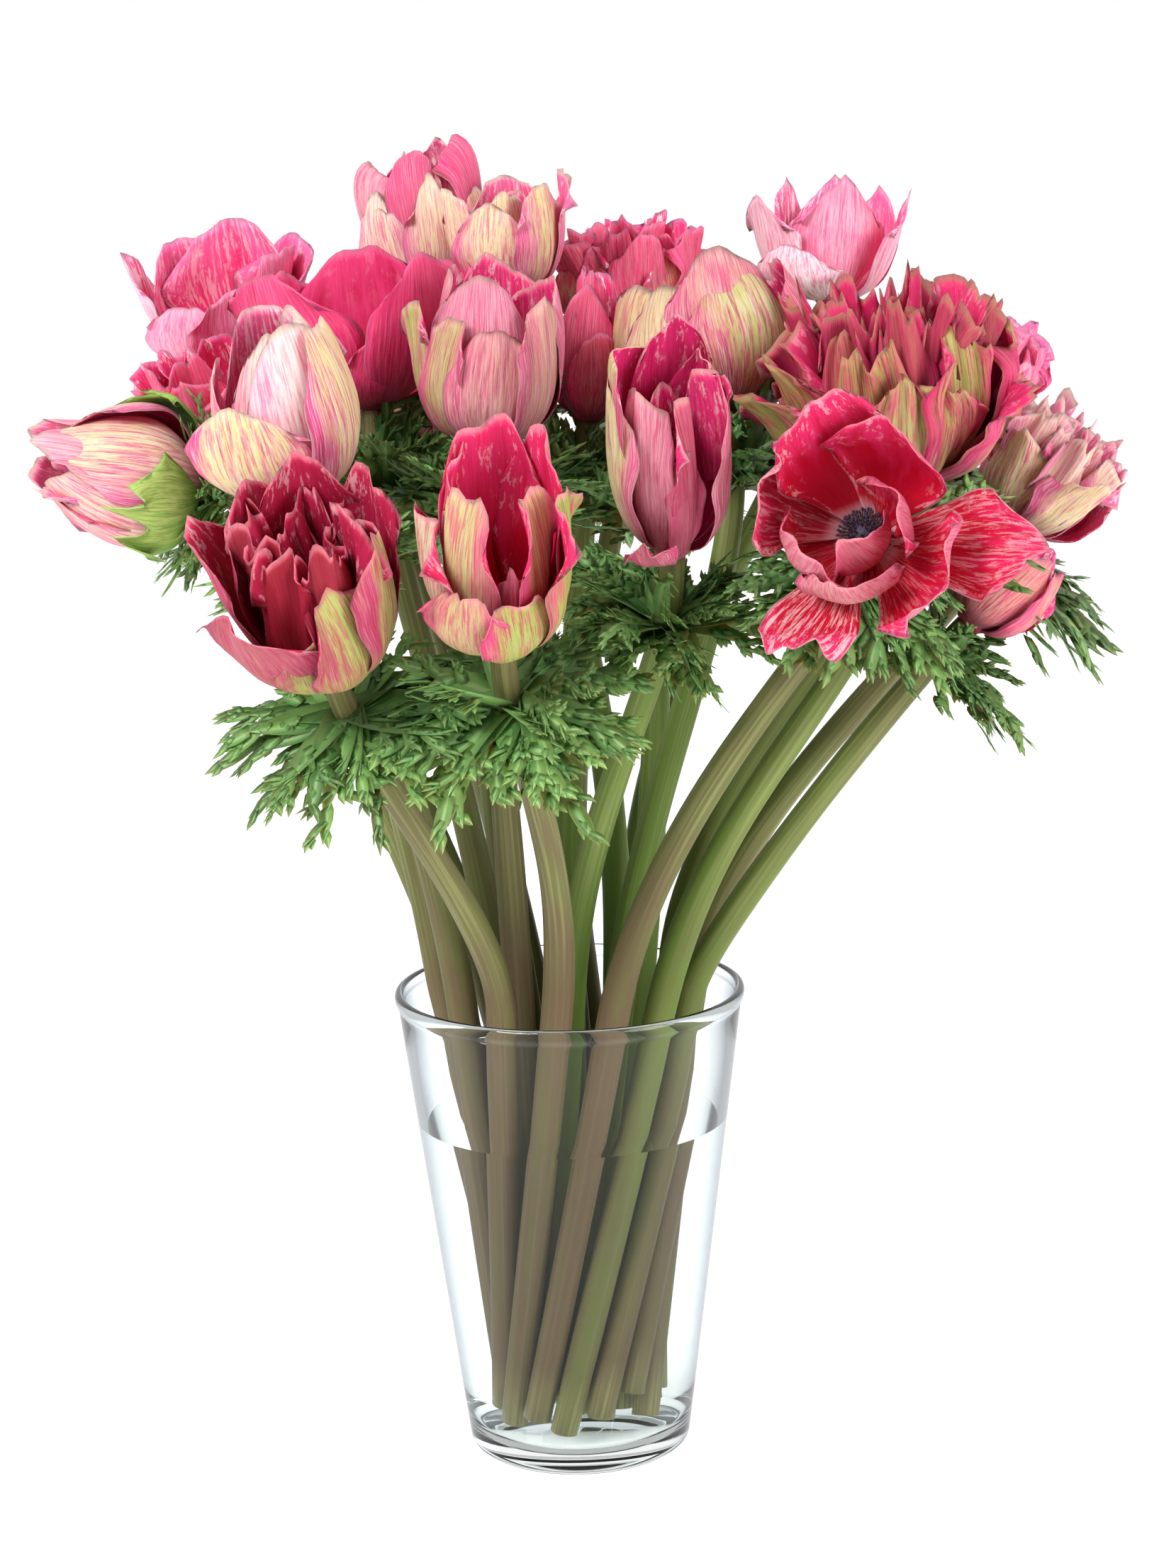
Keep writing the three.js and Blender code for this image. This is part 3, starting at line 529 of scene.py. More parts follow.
# %% The flowers
STEM_BOW = 0.45
STEEP = 0.8
FLOWERS = {
    # base, tip, width, palette, ring, foot, collar below, reach, lift, droop, bow if not STEM_BOW
    "01": ((-39, 56, 391), (-47, 61, 452), 39, "blush", 1, 16, 34, 30, 25, 0.2),
    "02": ((-114, 80, 373), (-120, 72, 421), 58, "pink", 2, 12, 30, 30, 20, 0.2, 0.3),
    "03": ((-61, 10, 362), (-63, 9, 415), 60, "coral", 1, 14, 28, 36, 25, 0.15),
    "04": ((-112, 33, 344), (-119, 22, 384), 40, "magenta", 2, 20, 26, 28, 20, 0.2, 0.3),
    "05": ((-79, -55, 341), (-88, -68, 396), 47, "blush", 2, 12, 24, 32, 10, 0.35),
    "06": ((-116, -20, 340), (-166, -35, 352), 44, "blush", 2, 46, 6, 27, 45, 0.1, 0.15),
    "07": ((-70, -95, 291), (-78, -129, 349), 48, "ruby", 2, 15, 17, 37, 5, 0.32, 0.25),
    "08": ((-21, -30, 352), (-17, -35, 413), 43.5, "dusky", 1, 18, 22, 36, 35, 0.1),
    "09": ((-17, -110, 301), (-16, -145, 369), 39, "crimson", 2, 12, 24, 38, 8, 0.35),
    "10": ((36, -75, 322), (34, -110, 396), 30, "dusky", 1, 22, 26, 34, 5, 0.3),
    "11": ((29, 60, 381), (25, 60, 421), 42, "magenta", 1, 13, 26, 32, 20, 0.25),
    "12": ((11, 15, 356), (14, 10, 404), 26, "magenta", 0, 12, 28, 40, 35, 0.1),
    "13": ((57, -15, 358), (50, 0, 413), 58, "dusky", 1, 17, 20, 36, 35, 0.15),
    "14": ((-13, 28, 397), (-16, 27, 438), 31, "blush", 1, 14, 30, 30, 25, 0.2),
    "15": ((98, 90, 388), (101, 90, 433), 52, "pink", 2, 19, 30, 34, 30, 0.1),
    "16": ((110, -45, 337), (104, -50, 404), 63, "bronze", 2, 12, 18, 40, 10, 0.3),
    "17": ((95, -97, 328), (77, -162, 355), 70, "crimson", 2, 16, 26, 34, 5, 0.3),
    "18": ((151, 0, 318), (176, -3, 355), 39, "blush", 2, 24, 12, 40, 5, 0.35, 0.3),
    "19": ((147, 60, 350), (156, 60, 384), 32, "pink", 2, 13, 21, 34, 15, 0.3, 0.33),
    "20": ((132, -40, 292), (156, -42, 316), 28, "magenta", 2, 18, 14, 30, 5, 0.3, 0.1),
    "21": ((-45, 88, 340), (-52, 102, 378), 36, "magenta", 1, 15, 24, 34, 15, 0.3),
    "22": ((25, 125, 345), (28, 143, 392), 48, "crimson", 2, 12, 22, 38, 5, 0.4),
    "23": ((-60, 128, 335), (-68, 150, 378), 46, "blush", 2, 14, 20, 38, 5, 0.4),
}


def unit(direction):
    return direction / np.linalg.norm(direction)


def facing_axes(up):
    """Three axes round a head or stem: up, front towards the viewer, and right."""
    towards = np.array([0.0, 0.0, -1.0]) if abs(up[1]) > STEEP else np.array([0.0, -1.0, 0.0])
    front = unit(towards - up * towards.dot(up))
    return up, front, np.cross(up, front)


class Flower:
    def __init__(self, number, base, tip, width, palette, ring, foot, below, reach, lift, droop, bow=None):
        self.number = number
        self.palette = palette
        self.base = np.array(base, float)
        stretch = np.array(tip, float) - self.base
        self.length = np.linalg.norm(stretch)
        self.half = width / 2
        self.up, self.front, self.right = facing_axes(unit(stretch))
        self.ring = ring
        self.foot = foot
        self.bow = bow or STEM_BOW
        self.below = below
        self.reach = reach
        self.lift = math.radians(lift)
        self.droop = droop

    def draws(self, piece):
        """Chance for one piece of this flower."""
        return Draws(int(self.number) + piece)

    def way(self, azimuth):
        """The way out of the head at a turn from the viewer."""
        return self.front * math.cos(azimuth) + self.right * math.sin(azimuth)

    def circle(self, sides):
        return np.array([self.way(angle) for angle in np.linspace(0, FULL_TURN, sides, endpoint=False)])


flowers = [Flower(number, *facts) for number, facts in FLOWERS.items()]
print("flowers:", len(flowers))

# %% [markdown]
# In a full vase the stems lean on each other and twist, as if wrung. One stem stands in the middle
# and the others in two rings, and each ring turns on its way down, so no stem cuts another. Above the
# rim a stem is one smooth curve, which leaves the vase straight and ends square to its head.

# %% Stems find their way
GAP = 0.3
VASE_HEIGHT = 164
FLOOR = 7
# how many stems, the radius of their ring at the floor and at the rim, and where the first one stands
RINGS = [(1, 0, 0, 0), (8, 12.8, 24, 270), (14, 23.2, 43, 290)]
TWIST = math.radians(62)
PLACE_MARGIN = math.radians(15)
STEM_NOD = 0.28
CURVE_STEPS = 200


def round_the_middle(radius, angle, height):
    return np.array([radius * math.cos(angle), radius * math.sin(angle), height])


def place_stems(level, count, foot_radius, rim_radius, first):
    """Gives each flower of a ring its place, in the order in which their heads stand round."""
    first = math.radians(first)

    def turn(flower):
        angle = math.atan2(flower.base[1], flower.base[0])
        return (angle - first + PLACE_MARGIN) % FULL_TURN

    members = sorted((flower for flower in flowers if flower.ring == level), key=turn)
    for place, flower in enumerate(members):
        angle = first + FULL_TURN * place / count
        flower.rim = round_the_middle(rim_radius, angle, VASE_HEIGHT)
        floor_point = round_the_middle(foot_radius, angle - TWIST, FLOOR)
        share = (flower.foot - FLOOR) / (VASE_HEIGHT - FLOOR)
        flower.cut = floor_point + (flower.rim - floor_point) * share


def cubic(controls, t):
    a, b, c, d = controls
    s = 1 - t
    return a * s**3 + 3 * b * s * s * t + 3 * c * s * t * t + d * t**3


def stem_controls(flower):
    rise = unit(flower.rim - flower.cut)
    end = flower.base - flower.up * GAP
    reach = np.linalg.norm(end - flower.rim)
    return flower.rim, flower.rim + rise * reach * flower.bow, end - flower.up * reach * STEM_NOD, end


for level, facts in enumerate(RINGS):
    place_stems(level, *facts)
for flower in flowers:
    shares = np.linspace(0, 1, CURVE_STEPS + 1)[:, None]
    flower.line = cubic(stem_controls(flower), shares)
    pieces = np.linalg.norm(np.diff(flower.line, axis=0), axis=1)
    flower.line_length = np.concatenate([[0], np.cumsum(pieces)])
print("longest stem above the rim:", round(max(flower.line_length[-1] for flower in flowers)), "mm")

# %% [markdown]
# A petal is a strip that climbs from the receptacle: out to the belly of the head, then in or out to
# its tip. Cloth could be simulated for it, but a petal is stiff and grows into its shape, so plain
# waves do better. These are the facts of one petal, in hundredths: its height, belly, tip radius and
# half width as shares of the head, its ruffles, and its four tones. The others shape it further: a
# point, a curl or a lean, a root a little higher up, a fringed edge, how it bends round the head,
# where it is widest, how soon it domes in, teeth for the bract, and crinkles for the double heads.

# %% Facts of a petal
PETAL_FACTS = {
    "tall": 100, "belly": 100, "tip": 100, "wide": 100, "ruffle": 100,
    "cream": 40, "pale": 0, "lime": 0, "dark": 0, "point": 0, "curl": 0, "lean": 0, "up": 0,
    "fringe": 100, "bend": 110, "spread": 76, "dome": 58, "teeth": 0, "crinkle": 0,
}


class Petal:
    """A petal that faces a way round the head, or a ring of several. Facts left out stay usual."""

    def __init__(self, turn, *facts, count=1, **others):
        self.turn = turn
        self.count = count
        for label, value in {**PETAL_FACTS, **dict(zip(PETAL_FACTS, facts)), **others}.items():
            setattr(self, label, value / 100)


# %% [markdown]
# Ruffles are sums of waves that never fall in step. Their pitch and phase come from chance, so each
# petal folds in its own way, and the waves grow towards the free edge, where a real petal is soft.

# %% Ruffles and folds
PLEAT_WIDTH = 4.5


def ripple(draws, u, v, pitch):
    """A sum of slow waves with random phases, for folds that never repeat."""
    total = np.zeros_like(u)
    for k in range(1, 4):
        phases = [draws.angle() for _ in range(4)]
        bent = u + 0.15 * np.sin(4 * v + phases[2])
        total += np.sin(pitch * k * bent + phases[0]) * np.cos(pitch * 0.55 * k * v + phases[1]) / k
    return total


def edge_wave(draws, place, pitch):
    """One long and one short wave along an edge, never quite in step."""
    long_pitch = pitch * draws.between(0.75, 1.3)
    short_pitch = 2.6 * pitch * draws.between(0.8, 1.2)
    long_wave = np.sin(long_pitch * place + draws.angle())
    return long_wave + 0.35 * np.sin(short_pitch * place + draws.angle())


def outline(petal, draws, u, v):
    """How far up its curve each point lies once the tip is rounded, pointed, nicked or toothed."""
    rounded = 0.2 * np.abs(u) ** 2.4 * v**3 - 0.02 * ripple(draws, u, 0 * v, 2.2) * v**3
    pointed = petal.point * (0.34 * np.abs(u) - 0.06) * v**4
    nicks = 0.02 * petal.fringe * ripple(draws, u, 0 * v, 5.5) * v**5
    jagged = petal.teeth * np.abs(np.sin(1.5 * math.pi * u)) * v**3
    if petal.crinkle:
        jagged += 0.05 * petal.crinkle * np.abs(ripple(draws, u, 0 * v, 4.0)) * v**3
    return v * (1 - rounded * (1 - petal.point) - pointed - jagged) + nicks


def folds(petal, draws, u, v):
    """Waves along the top and the sides, and slow folds all over."""
    top_edge = v**3 * edge_wave(draws, u, 3.4)
    side_edge = np.abs(u) ** 2.2 * v * edge_wave(draws, v + 0.5 * np.sign(u), 6.5)
    waves = petal.ruffle * (1.3 * top_edge + 1.5 * side_edge)
    return waves + petal.ruffle * 0.5 * ripple(draws, u, v, 2.8) * v


def crinkles(petal, draws, u, v, widest):
    """The fine pleats of a crowded inner petal, and how far it rolls."""
    pleats = widest / PLEAT_WIDTH * draws.between(0.8, 1.2)
    fine = np.sin(math.pi * pleats * u + draws.between(0, 6) + 1.6 * np.sin(3.5 * v))
    coarse = 0.9 * np.sin(math.pi * 1.2 * u + draws.between(0, 6))
    return petal.crinkle * v**0.8 * (fine + coarse), petal.crinkle * draws.between(-0.14, 0.2)


# %% [markdown]
# Now one petal becomes a grid of points. Its curve up the head is a cubic, and at each height it
# bends round the head like a spoon, one edge a little inside the next petal's edge. The folds push
# each point square to that curve. A second grid of points is never needed: the blade gets its
# thickness when it is added to the shape.

# %% The petal
PETAL_SEED = 300
PETAL_COLUMNS = 16
PETAL_ROWS = 18
CRINKLE_COLUMNS = 8
PETAL_THICKNESS = 0.5
PETAL_START = 0.02
NEARBY = 0.01
PINWHEEL = 0.2


def petal_grid(flower, petal, azimuth, draws):
    columns = PETAL_COLUMNS + round(CRINKLE_COLUMNS * min(petal.crinkle, 1.0))
    u, v = np.meshgrid(
        np.linspace(-1, 1, columns + 1), np.linspace(PETAL_START, 1, PETAL_ROWS + 1), indexing="ij"
    )
    belly = flower.half * petal.belly * draws.between(0.96, 1.04)
    tip = flower.half * petal.tip * draws.between(0.88, 1.1)
    height = flower.length * petal.tall * draws.between(0.93, 1.04)
    start = 1.4 + petal.up
    radii = (2.6, belly * 1.12, belly * 1.2, tip)
    heights = (start, start + height * 0.04, height * petal.dome, height)
    along = outline(petal, draws, u, v)
    radius = cubic(radii, along)
    rise = cubic(heights, along)
    outward = (cubic(radii, along + NEARBY) - radius) / NEARBY
    upward = (cubic(heights, along + NEARBY) - rise) / NEARBY
    slope = np.hypot(outward, upward)

    bend = petal.bend * np.maximum(radius, 3.0)
    half = flower.half * petal.wide * np.sin(petal.spread * math.pi * v) ** 0.75
    half = half * (1 + 0.035 * petal.fringe * ripple(draws, 0 * u, v, 5.0) * np.abs(u) ** 2 * v)
    angle = u * half / bend
    waves = folds(petal, draws, u, v)
    crumple = 0.0
    if petal.crinkle:
        pleats, crumple = crinkles(petal, draws, u, v, half.max())
        waves += pleats
    crease = 0.6 * np.exp(-((u / 0.14) ** 2)) * v
    roll = petal.curl + draws.between(0.0, 0.09) + crumple
    rollback = roll * flower.half * np.clip(v - 0.7, 0, 1) ** 2 * 8
    inward = bend * (1 - np.cos(angle)) + PINWHEEL * u * half + waves - crease - rollback

    lean = (petal.lean + draws.between(-0.06, 0.06)) * flower.length * v**1.5
    outwards = flower.way(azimuth)
    grid = flower.base + (radius - inward * upward / slope)[..., None] * outwards
    grid = grid + (bend * np.sin(angle) + lean)[..., None] * np.cross(flower.up, outwards)
    return grid + (rise + inward * outward / slope)[..., None] * flower.up, u, v


def add_petals(shape, flower, petals):
    draws = flower.draws(PETAL_SEED)
    for petal in petals:
        for k in range(petal.count):
            jitter = 0.0 if petal.count == 1 else draws.between(-0.14, 0.14)
            azimuth = math.radians(petal.turn) + FULL_TURN * (k + jitter) / petal.count
            grid, u, v = petal_grid(flower, petal, azimuth, draws)
            cream = petal.cream * draws.between(0.7, 1.25)
            pale = petal.pale * draws.between(0.8, 1.15)
            chance = draws.between(0, 40)
            lime = petal.lime * draws.between(0.6, 1.2)
            dark = petal.dark * draws.between(0.7, 1.2)
            shape.add_blade(grid, PETAL_THICKNESS, u, v, (cream, pale, chance), (lime, dark, 0))


# %% [markdown]
# The recipes below were written while looking at each head in turn. A ring of many narrow ruffled
# petals makes a double head. A few broad ones make a single cup. Where the picture looks into a head,
# its front petals are short and its back ones tall. Heads that it hardly shows share a plain recipe.

# %% Recipes of the heads
HEADS = {
    "01": [
        Petal(180, 95, 95, 75, 80, 220, 5, 30, dome=90, spread=60, curl=-20),
        Petal(-75, 90, 100, 75, 80, 260, 30, 50, dark=30, dome=95, spread=60, curl=-30),
        Petal(80, 94, 96, 75, 80, 260, 5, 10, dark=60, dome=95, spread=60, curl=-30),
        Petal(0, 93, 90, 50, 80, 300, 10, 10, dark=50, dome=95, spread=60, curl=-20),
        Petal(40, 90, 60, 30, 60, 280, 10, 30, crinkle=80, count=3),
        Petal(-48, 66, 104, 98, 62, 120, 90, 40, point=60),
        Petal(6, 72, 106, 96, 60, 120, 110, 20, lime=30, point=60),
        Petal(62, 62, 104, 100, 64, 120, 90, 10, lime=50, point=20),
        Petal(135, 60, 102, 100, 70, 120, 80, 20, count=2),
    ],
    "02": [
        Petal(165, 94, 70, 75, 95, 140, 30, 45),
        Petal(105, 86, 75, 92, 85, 140, 20, 10),
        Petal(62, 88, 75, 97, 75, 140, 20, 10),
        Petal(-105, 84, 84, 105, 55, 140, 30, 90, point=50),
        Petal(-150, 84, 75, 88, 80, 140, 20, 50),
        Petal(-35, 59, 84, 88, 85, 140, 40, 40),
        Petal(20, 62, 84, 88, 80, 140, 20, 20),
    ],
    "03": [
        Petal(178, 97, 90, 85, 100, 100, 30),
        Petal(-128, 88, 90, 110, 85, 100, 30),
        Petal(118, 92, 90, 95, 85, 100, 30),
        Petal(-52, 90, 100, 112, 95, 100, 40, lean=-10),
        Petal(44, 92, 100, 95, 95, 100, 10, dark=20, lean=6),
        Petal(2, 45, 90, 80, 36, 60, 10, dark=20, point=40),
    ],
    "04": [
        Petal(0, 100, 50, 55, 60, 240, 10, 10, fringe=200, bend=160, crinkle=100, count=4),
        Petal(30, 92, 78, 100, 70, 260, 10, 10, fringe=200, bend=140, crinkle=100, count=6),
        Petal(10, 76, 98, 120, 75, 220, 10, 15, fringe=160, bend=130, crinkle=80, count=6),
        Petal(35, 50, 105, 120, 80, 160, 80, lime=40, count=5),
    ],
    "05": [
        Petal(180, 102, 90, 45, 100, 120, 60, 60, count=2),
        Petal(95, 100, 88, 30, 90, 120, 90, 30, lime=30),
        Petal(-95, 82, 100, 85, 90, 120, 40),
        Petal(-12, 99, 80, 20, 90, 120, 90, 50),
        Petal(62, 96, 103, 55, 105, 120, 100, lime=60, lean=5),
        Petal(-28, 66, 108, 100, 112, 160, 95, lime=35),
    ],
    "06": [
        Petal(38, 95, 98, 30, 115, 90, 120, 10, lime=30),
        Petal(-48, 98, 100, 32, 115, 90, 50, 10),
        Petal(125, 93, 100, 36, 115, 90, 90, 20, lime=40),
        Petal(-135, 100, 97, 30, 115, 90, 40, 10),
        Petal(30, 104, 70, 35, 80, 240, 20, 30, crinkle=60, count=3),
    ],
    "07": [
        Petal(178, 99, 87, 87, 85, 200, 10, fringe=160),
        Petal(130, 95, 87, 101, 80, 220, 60, lime=50, fringe=160),
        Petal(-135, 95, 92, 101, 90, 160, 10),
        Petal(-104, 82, 96, 130, 85, 160, 10),
        Petal(75, 86, 97, 87, 90, 200, 90, lime=50, fringe=160),
        Petal(-48, 60, 102, 122, 100, 180, 10, up=10),
        Petal(38, 66, 100, 83, 95, 240, 100, lime=70, fringe=180),
        Petal(-8, 46, 85, 95, 50, 220, 110, lime=80, fringe=160),
        Petal(20, 84, 62, 60, 44, 300, 10, dark=90, lime=60, fringe=220, bend=170, crinkle=120, count=7),
        Petal(50, 80, 34, 34, 44, 300, 10, dark=100, fringe=220, bend=160, crinkle=120, count=5),
    ],
    "08": [
        Petal(180, 96, 88, 70, 95, 180, 10, 10),
        Petal(115, 95, 90, 75, 85, 180, 30, 10),
        Petal(-120, 91, 95, 80, 85, 180, 30, 10),
        Petal(-12, 95, 76, 45, 95, 180, 5, 25),
        Petal(60, 82, 102, 90, 80, 140, 50, 10, lime=20),
        Petal(0, 67, 103, 75, 80, 100, 30, 15),
        Petal(-78, 79, 100, 110, 50, 160, 130, lime=90, curl=8),
        Petal(-48, 74, 98, 95, 45, 180, 120, lime=60),
    ],
    "09": [
        Petal(180, 92, 83, 73, 100, 160, 10, dark=40),
        Petal(-120, 89, 90, 83, 85, 160, 15, dark=40),
        Petal(120, 87, 86, 78, 85, 160, 30),
        Petal(-62, 78, 73, 49, 70, 240, 90, 10, lime=20, fringe=160),
        Petal(58, 75, 78, 49, 75, 240, 80, lime=30, fringe=160),
        Petal(15, 43, 59, 49, 40, 200, 10, 10, fringe=200, point=30),
        Petal(-88, 63, 104, 103, 85, 200, 100, 35, lime=30, point=20, fringe=160),
        Petal(80, 75, 108, 98, 100, 240, 140, lime=100, fringe=160),
        Petal(-35, 40, 106, 98, 90, 220, 100, 10, lime=50, fringe=180),
        Petal(28, 38, 106, 98, 90, 240, 130, lime=90, fringe=180),
    ],
    "10": [
        Petal(180, 90, 100, 85, 100, 180, 100, lime=100, curl=-20, dome=90),
        Petal(-130, 92, 105, 90, 105, 200, 150, lime=100, curl=-30, dome=90),
        Petal(130, 86, 100, 85, 100, 200, 70, lime=60, curl=-15, dome=90),
        Petal(-98, 82, 115, 95, 115, 220, 130, 10, lime=60),
        Petal(98, 80, 115, 85, 115, 220, 60, 10, lime=30),
        Petal(-22, 22, 115, 170, 55, 160, 20),
        Petal(-62, 74, 66, 50, 75, 220, 10, 20),
        Petal(60, 70, 66, 50, 75, 220, 10, 10, dark=50),
        Petal(20, 50, 70, 60, 45, 220, 10, 10, dark=60),
        Petal(180, 72, 50, 40, 80, 140, 10, dark=50),
    ],
    "13": [
        Petal(180, 89, 90, 64, 95, 160, 40, 10, count=2),
        Petal(125, 86, 104, 64, 90, 120, 10),
        Petal(15, 89, 76, 21, 90, 140, 10, 20),
        Petal(82, 80, 108, 80, 95, 180, 50),
        Petal(-78, 80, 108, 74, 100, 180, 130, lime=20),
        Petal(24, 76, 111, 69, 105, 180, 130, lime=45),
        Petal(-34, 72, 108, 80, 85, 180, 120, 10, lime=15),
    ],
    "14": [
        Petal(180, 98, 110, 115, 115, 160, 20, 30),
        Petal(-78, 92, 112, 120, 95, 160, 110, 20, lime=20, curl=6),
        Petal(92, 97, 115, 125, 90, 180, 80, 10, lime=30, curl=6),
        Petal(-22, 80, 116, 108, 95, 180, 120, 10, lime=50),
        Petal(42, 84, 118, 115, 90, 200, 120, 10, lime=70, curl=8),
        Petal(15, 86, 60, 50, 80, 240, 110, lime=50, count=2),
    ],
    "15": [
        Petal(0, 100, 65, 68, 80, 90, 50, 25, point=80),
        Petal(70, 90, 79, 103, 60, 90, 40, 60, point=90),
        Petal(-78, 85, 79, 99, 65, 90, 40, 80, point=70),
        Petal(130, 85, 72, 81, 60, 90, 20, 30, point=70),
        Petal(-130, 90, 72, 85, 65, 90, 30, 90, point=60),
        Petal(180, 95, 68, 72, 75, 90, 30, 90, point=60),
        Petal(-35, 47, 85, 85, 65, 100, 20, 120, point=30),
    ],
    "16": [
        Petal(0, 96, 36, 42, 36, 260, 10, lime=80, dark=90, fringe=200, bend=180, crinkle=160, count=6),
        Petal(25, 98, 56, 72, 34, 300, 15, lime=80, dark=80, fringe=220, bend=200, crinkle=180, count=11),
        Petal(5, 92, 74, 92, 36, 300, 40, lime=80, dark=50, fringe=200, bend=190, crinkle=180, count=10),
        Petal(36, 80, 90, 108, 56, 280, 100, lime=80, fringe=160, crinkle=180, count=7),
        Petal(0, 60, 98, 118, 85, 300, 120, 5, lime=90, fringe=140, crinkle=150, count=5),
    ],
    "17": [
        Petal(-158, 62, 72, 72, 60, 120, 5, curl=12),
        Petal(150, 56, 72, 70, 62, 140, 30, lime=30, curl=10),
        Petal(-112, 50, 80, 66, 55, 160, 10, 30),
        Petal(-24, 28, 90, 130, 46, 240, 10, 60, up=50),
        Petal(84, 36, 95, 158, 48, 260, 10, 35, up=50),
        Petal(50, 46, 80, 90, 66, 240, 10, 20, lean=5),
        Petal(-4, 40, 62, 62, 50, 200, 20, 20),
        Petal(-66, 46, 60, 50, 50, 180, 10, 20),
        Petal(112, 44, 42, 36, 50, 180, 10, 10),
        Petal(36, 40, 34, 20, 42, 180, 10, 10),
    ],
    "18": [
        Petal(0, 98, 33, 34, 40, 280, 20, 30, fringe=200, bend=170, crinkle=120, count=5),
        Petal(30, 96, 57, 70, 42, 280, 60, 35, lime=30, fringe=200, bend=160, crinkle=120, count=8),
        Petal(10, 86, 78, 104, 50, 260, 80, 35, lime=40, fringe=200, bend=140, crinkle=120, count=8),
        Petal(30, 66, 92, 112, 80, 240, 110, 10, lime=60, fringe=150, crinkle=80, count=5),
    ],
}
BRACT = [Petal(-12, 62, 112, 102, 80, 160, 90, fringe=200, teeth=30, count=3)]
DOUBLE_HEAD = [
    Petal(0, 100, 40, 40, 50, 260, 5, 10, fringe=180, bend=160, crinkle=100, count=5),
    Petal(30, 97, 64, 78, 60, 260, 10, 10, fringe=180, bend=140, crinkle=100, count=6),
    Petal(10, 88, 86, 105, 72, 240, 20, 10, fringe=140, crinkle=100, count=6),
    Petal(40, 68, 98, 105, 85, 180, 80, 10, lime=30, crinkle=50, count=5),
]
ROLLED_HEAD = [
    Petal(20, 100, 55, 40, 80, 180, 5, 10, count=3),
    Petal(-30, 90, 85, 70, 90, 160, 10, 10, count=3),
    Petal(30, 62, 98, 90, 95, 120, 50, lime=20, dark=30, count=3),
]
BUD_HEAD = [
    Petal(40, 100, 68, 30, 80, 180, 40, 20, count=3),
    Petal(0, 97, 100, 60, 92, 140, 70, 10, lime=20, count=5),
]
CUP_HEAD = [
    Petal(45, 90, 66, 60, 70, 220, 30, 10, count=4),
    Petal(0, 95, 100, 95, 90, 160, 50, 10, lime=30, count=5),
]
HEADS.update({"11": DOUBLE_HEAD, "12": ROLLED_HEAD, "19": DOUBLE_HEAD, "21": DOUBLE_HEAD})
HEADS.update({"20": BUD_HEAD, "23": BUD_HEAD, "22": CUP_HEAD})

# %% [markdown]
# All petals of a head are one piece, with the receptacle, the small pale knob that they grow from.
# It is a short turned shape in the petals' own skin, because only its edge ever shows.

# %% Heads
SLOTS = {entry["node"]: entry["material_slot"] for entry in frame["record"]["subparts"]}
WITH_BRACT = ("06",)
RECEPTACLE_RINGS = ((4.4, 0.0), (5.8, 1.6), (6.2, 3.6), (4.2, 5.2), (0.4, 5.8))
RECEPTACLE_SIDES = 16
RECEPTACLE_TONE = (0.9, 0.0, 1.0)


def add_receptacle(shape, flower):
    circle = flower.circle(RECEPTACLE_SIDES)
    rings = [flower.base + circle * radius + flower.up * rise for radius, rise in RECEPTACLE_RINGS]
    shape.add_tube(np.array(rings), tone=RECEPTACLE_TONE)


petal_faces = 0
for flower in flowers:
    shape = Shape()
    add_petals(shape, flower, HEADS[flower.number])
    add_receptacle(shape, flower)
    head = shape.make(f"petals_{flower.number}", petal_materials[flower.palette])
    node = f"bloom_{flower.number}"
    hand_over(head, SLOTS[node], node)
    petal_faces += len(head.data.polygons)
    if flower.number in WITH_BRACT:
        shape = Shape()
        add_petals(shape, flower, BRACT)
        hand_over(shape.make(f"bract_{flower.number}", bract_material), "stem", f"stem_{flower.number}")
print("petal faces in all:", petal_faces)

# %% [markdown]
# A stem is a long tube that follows its line. A curve with a bevel would give one too, but real stems
# are not quite round and swell a little here and there, so the rings are placed one by one. The cut
# end is open: a pale ring round a hollow.

# %% Stems
STEM_SEED = 500
STEM_RADIUS = (4.5, 5.2, 3.9)
STEM_SIDES = 18
STEM_RINGS = 44
SWELL = 0.04
HOLLOW_DEPTH = 9
HOLLOW_RADIUS = 3.0
HOLLOW_TONE = (0.3, 1.2, 0)
# stems that the picture shows purple brown from end to end, and how brown they are
BROWNER = {"17": 0.8, "18": 0.7, "20": 0.35}


def turning_rings(line, radii, sides):
    """Rings square to a line of points, all starting on the same side."""
    tangents = np.gradient(line, axis=0)
    tangents /= np.linalg.norm(tangents, axis=1, keepdims=True)
    side = np.array([1.0, 0, 0]) - tangents * tangents[:, :1]
    side /= np.linalg.norm(side, axis=1, keepdims=True)
    back = np.cross(tangents, side)
    angles = np.linspace(0, FULL_TURN, sides, endpoint=False)
    circle = np.cos(angles)[None, :, None] * side[:, None] + np.sin(angles)[None, :, None] * back[:, None]
    return line[:, None] + circle * radii[:, None, None]


def stem_line(flower):
    """The whole centre line from the cut end to the head, with the radius along it."""
    foot, rim, top = STEM_RADIUS
    low_steps = np.linspace(0, 1, STEM_RINGS // 3, endpoint=False)
    inside = flower.cut + (flower.rim - flower.cut) * low_steps[:, None]
    steps = np.linspace(0, 1, STEM_RINGS)
    above = cubic(stem_controls(flower), steps[:, None])
    radii = np.concatenate([foot + (rim - foot) * low_steps, rim + (top - rim) * steps])
    return np.concatenate([inside, above]), radii


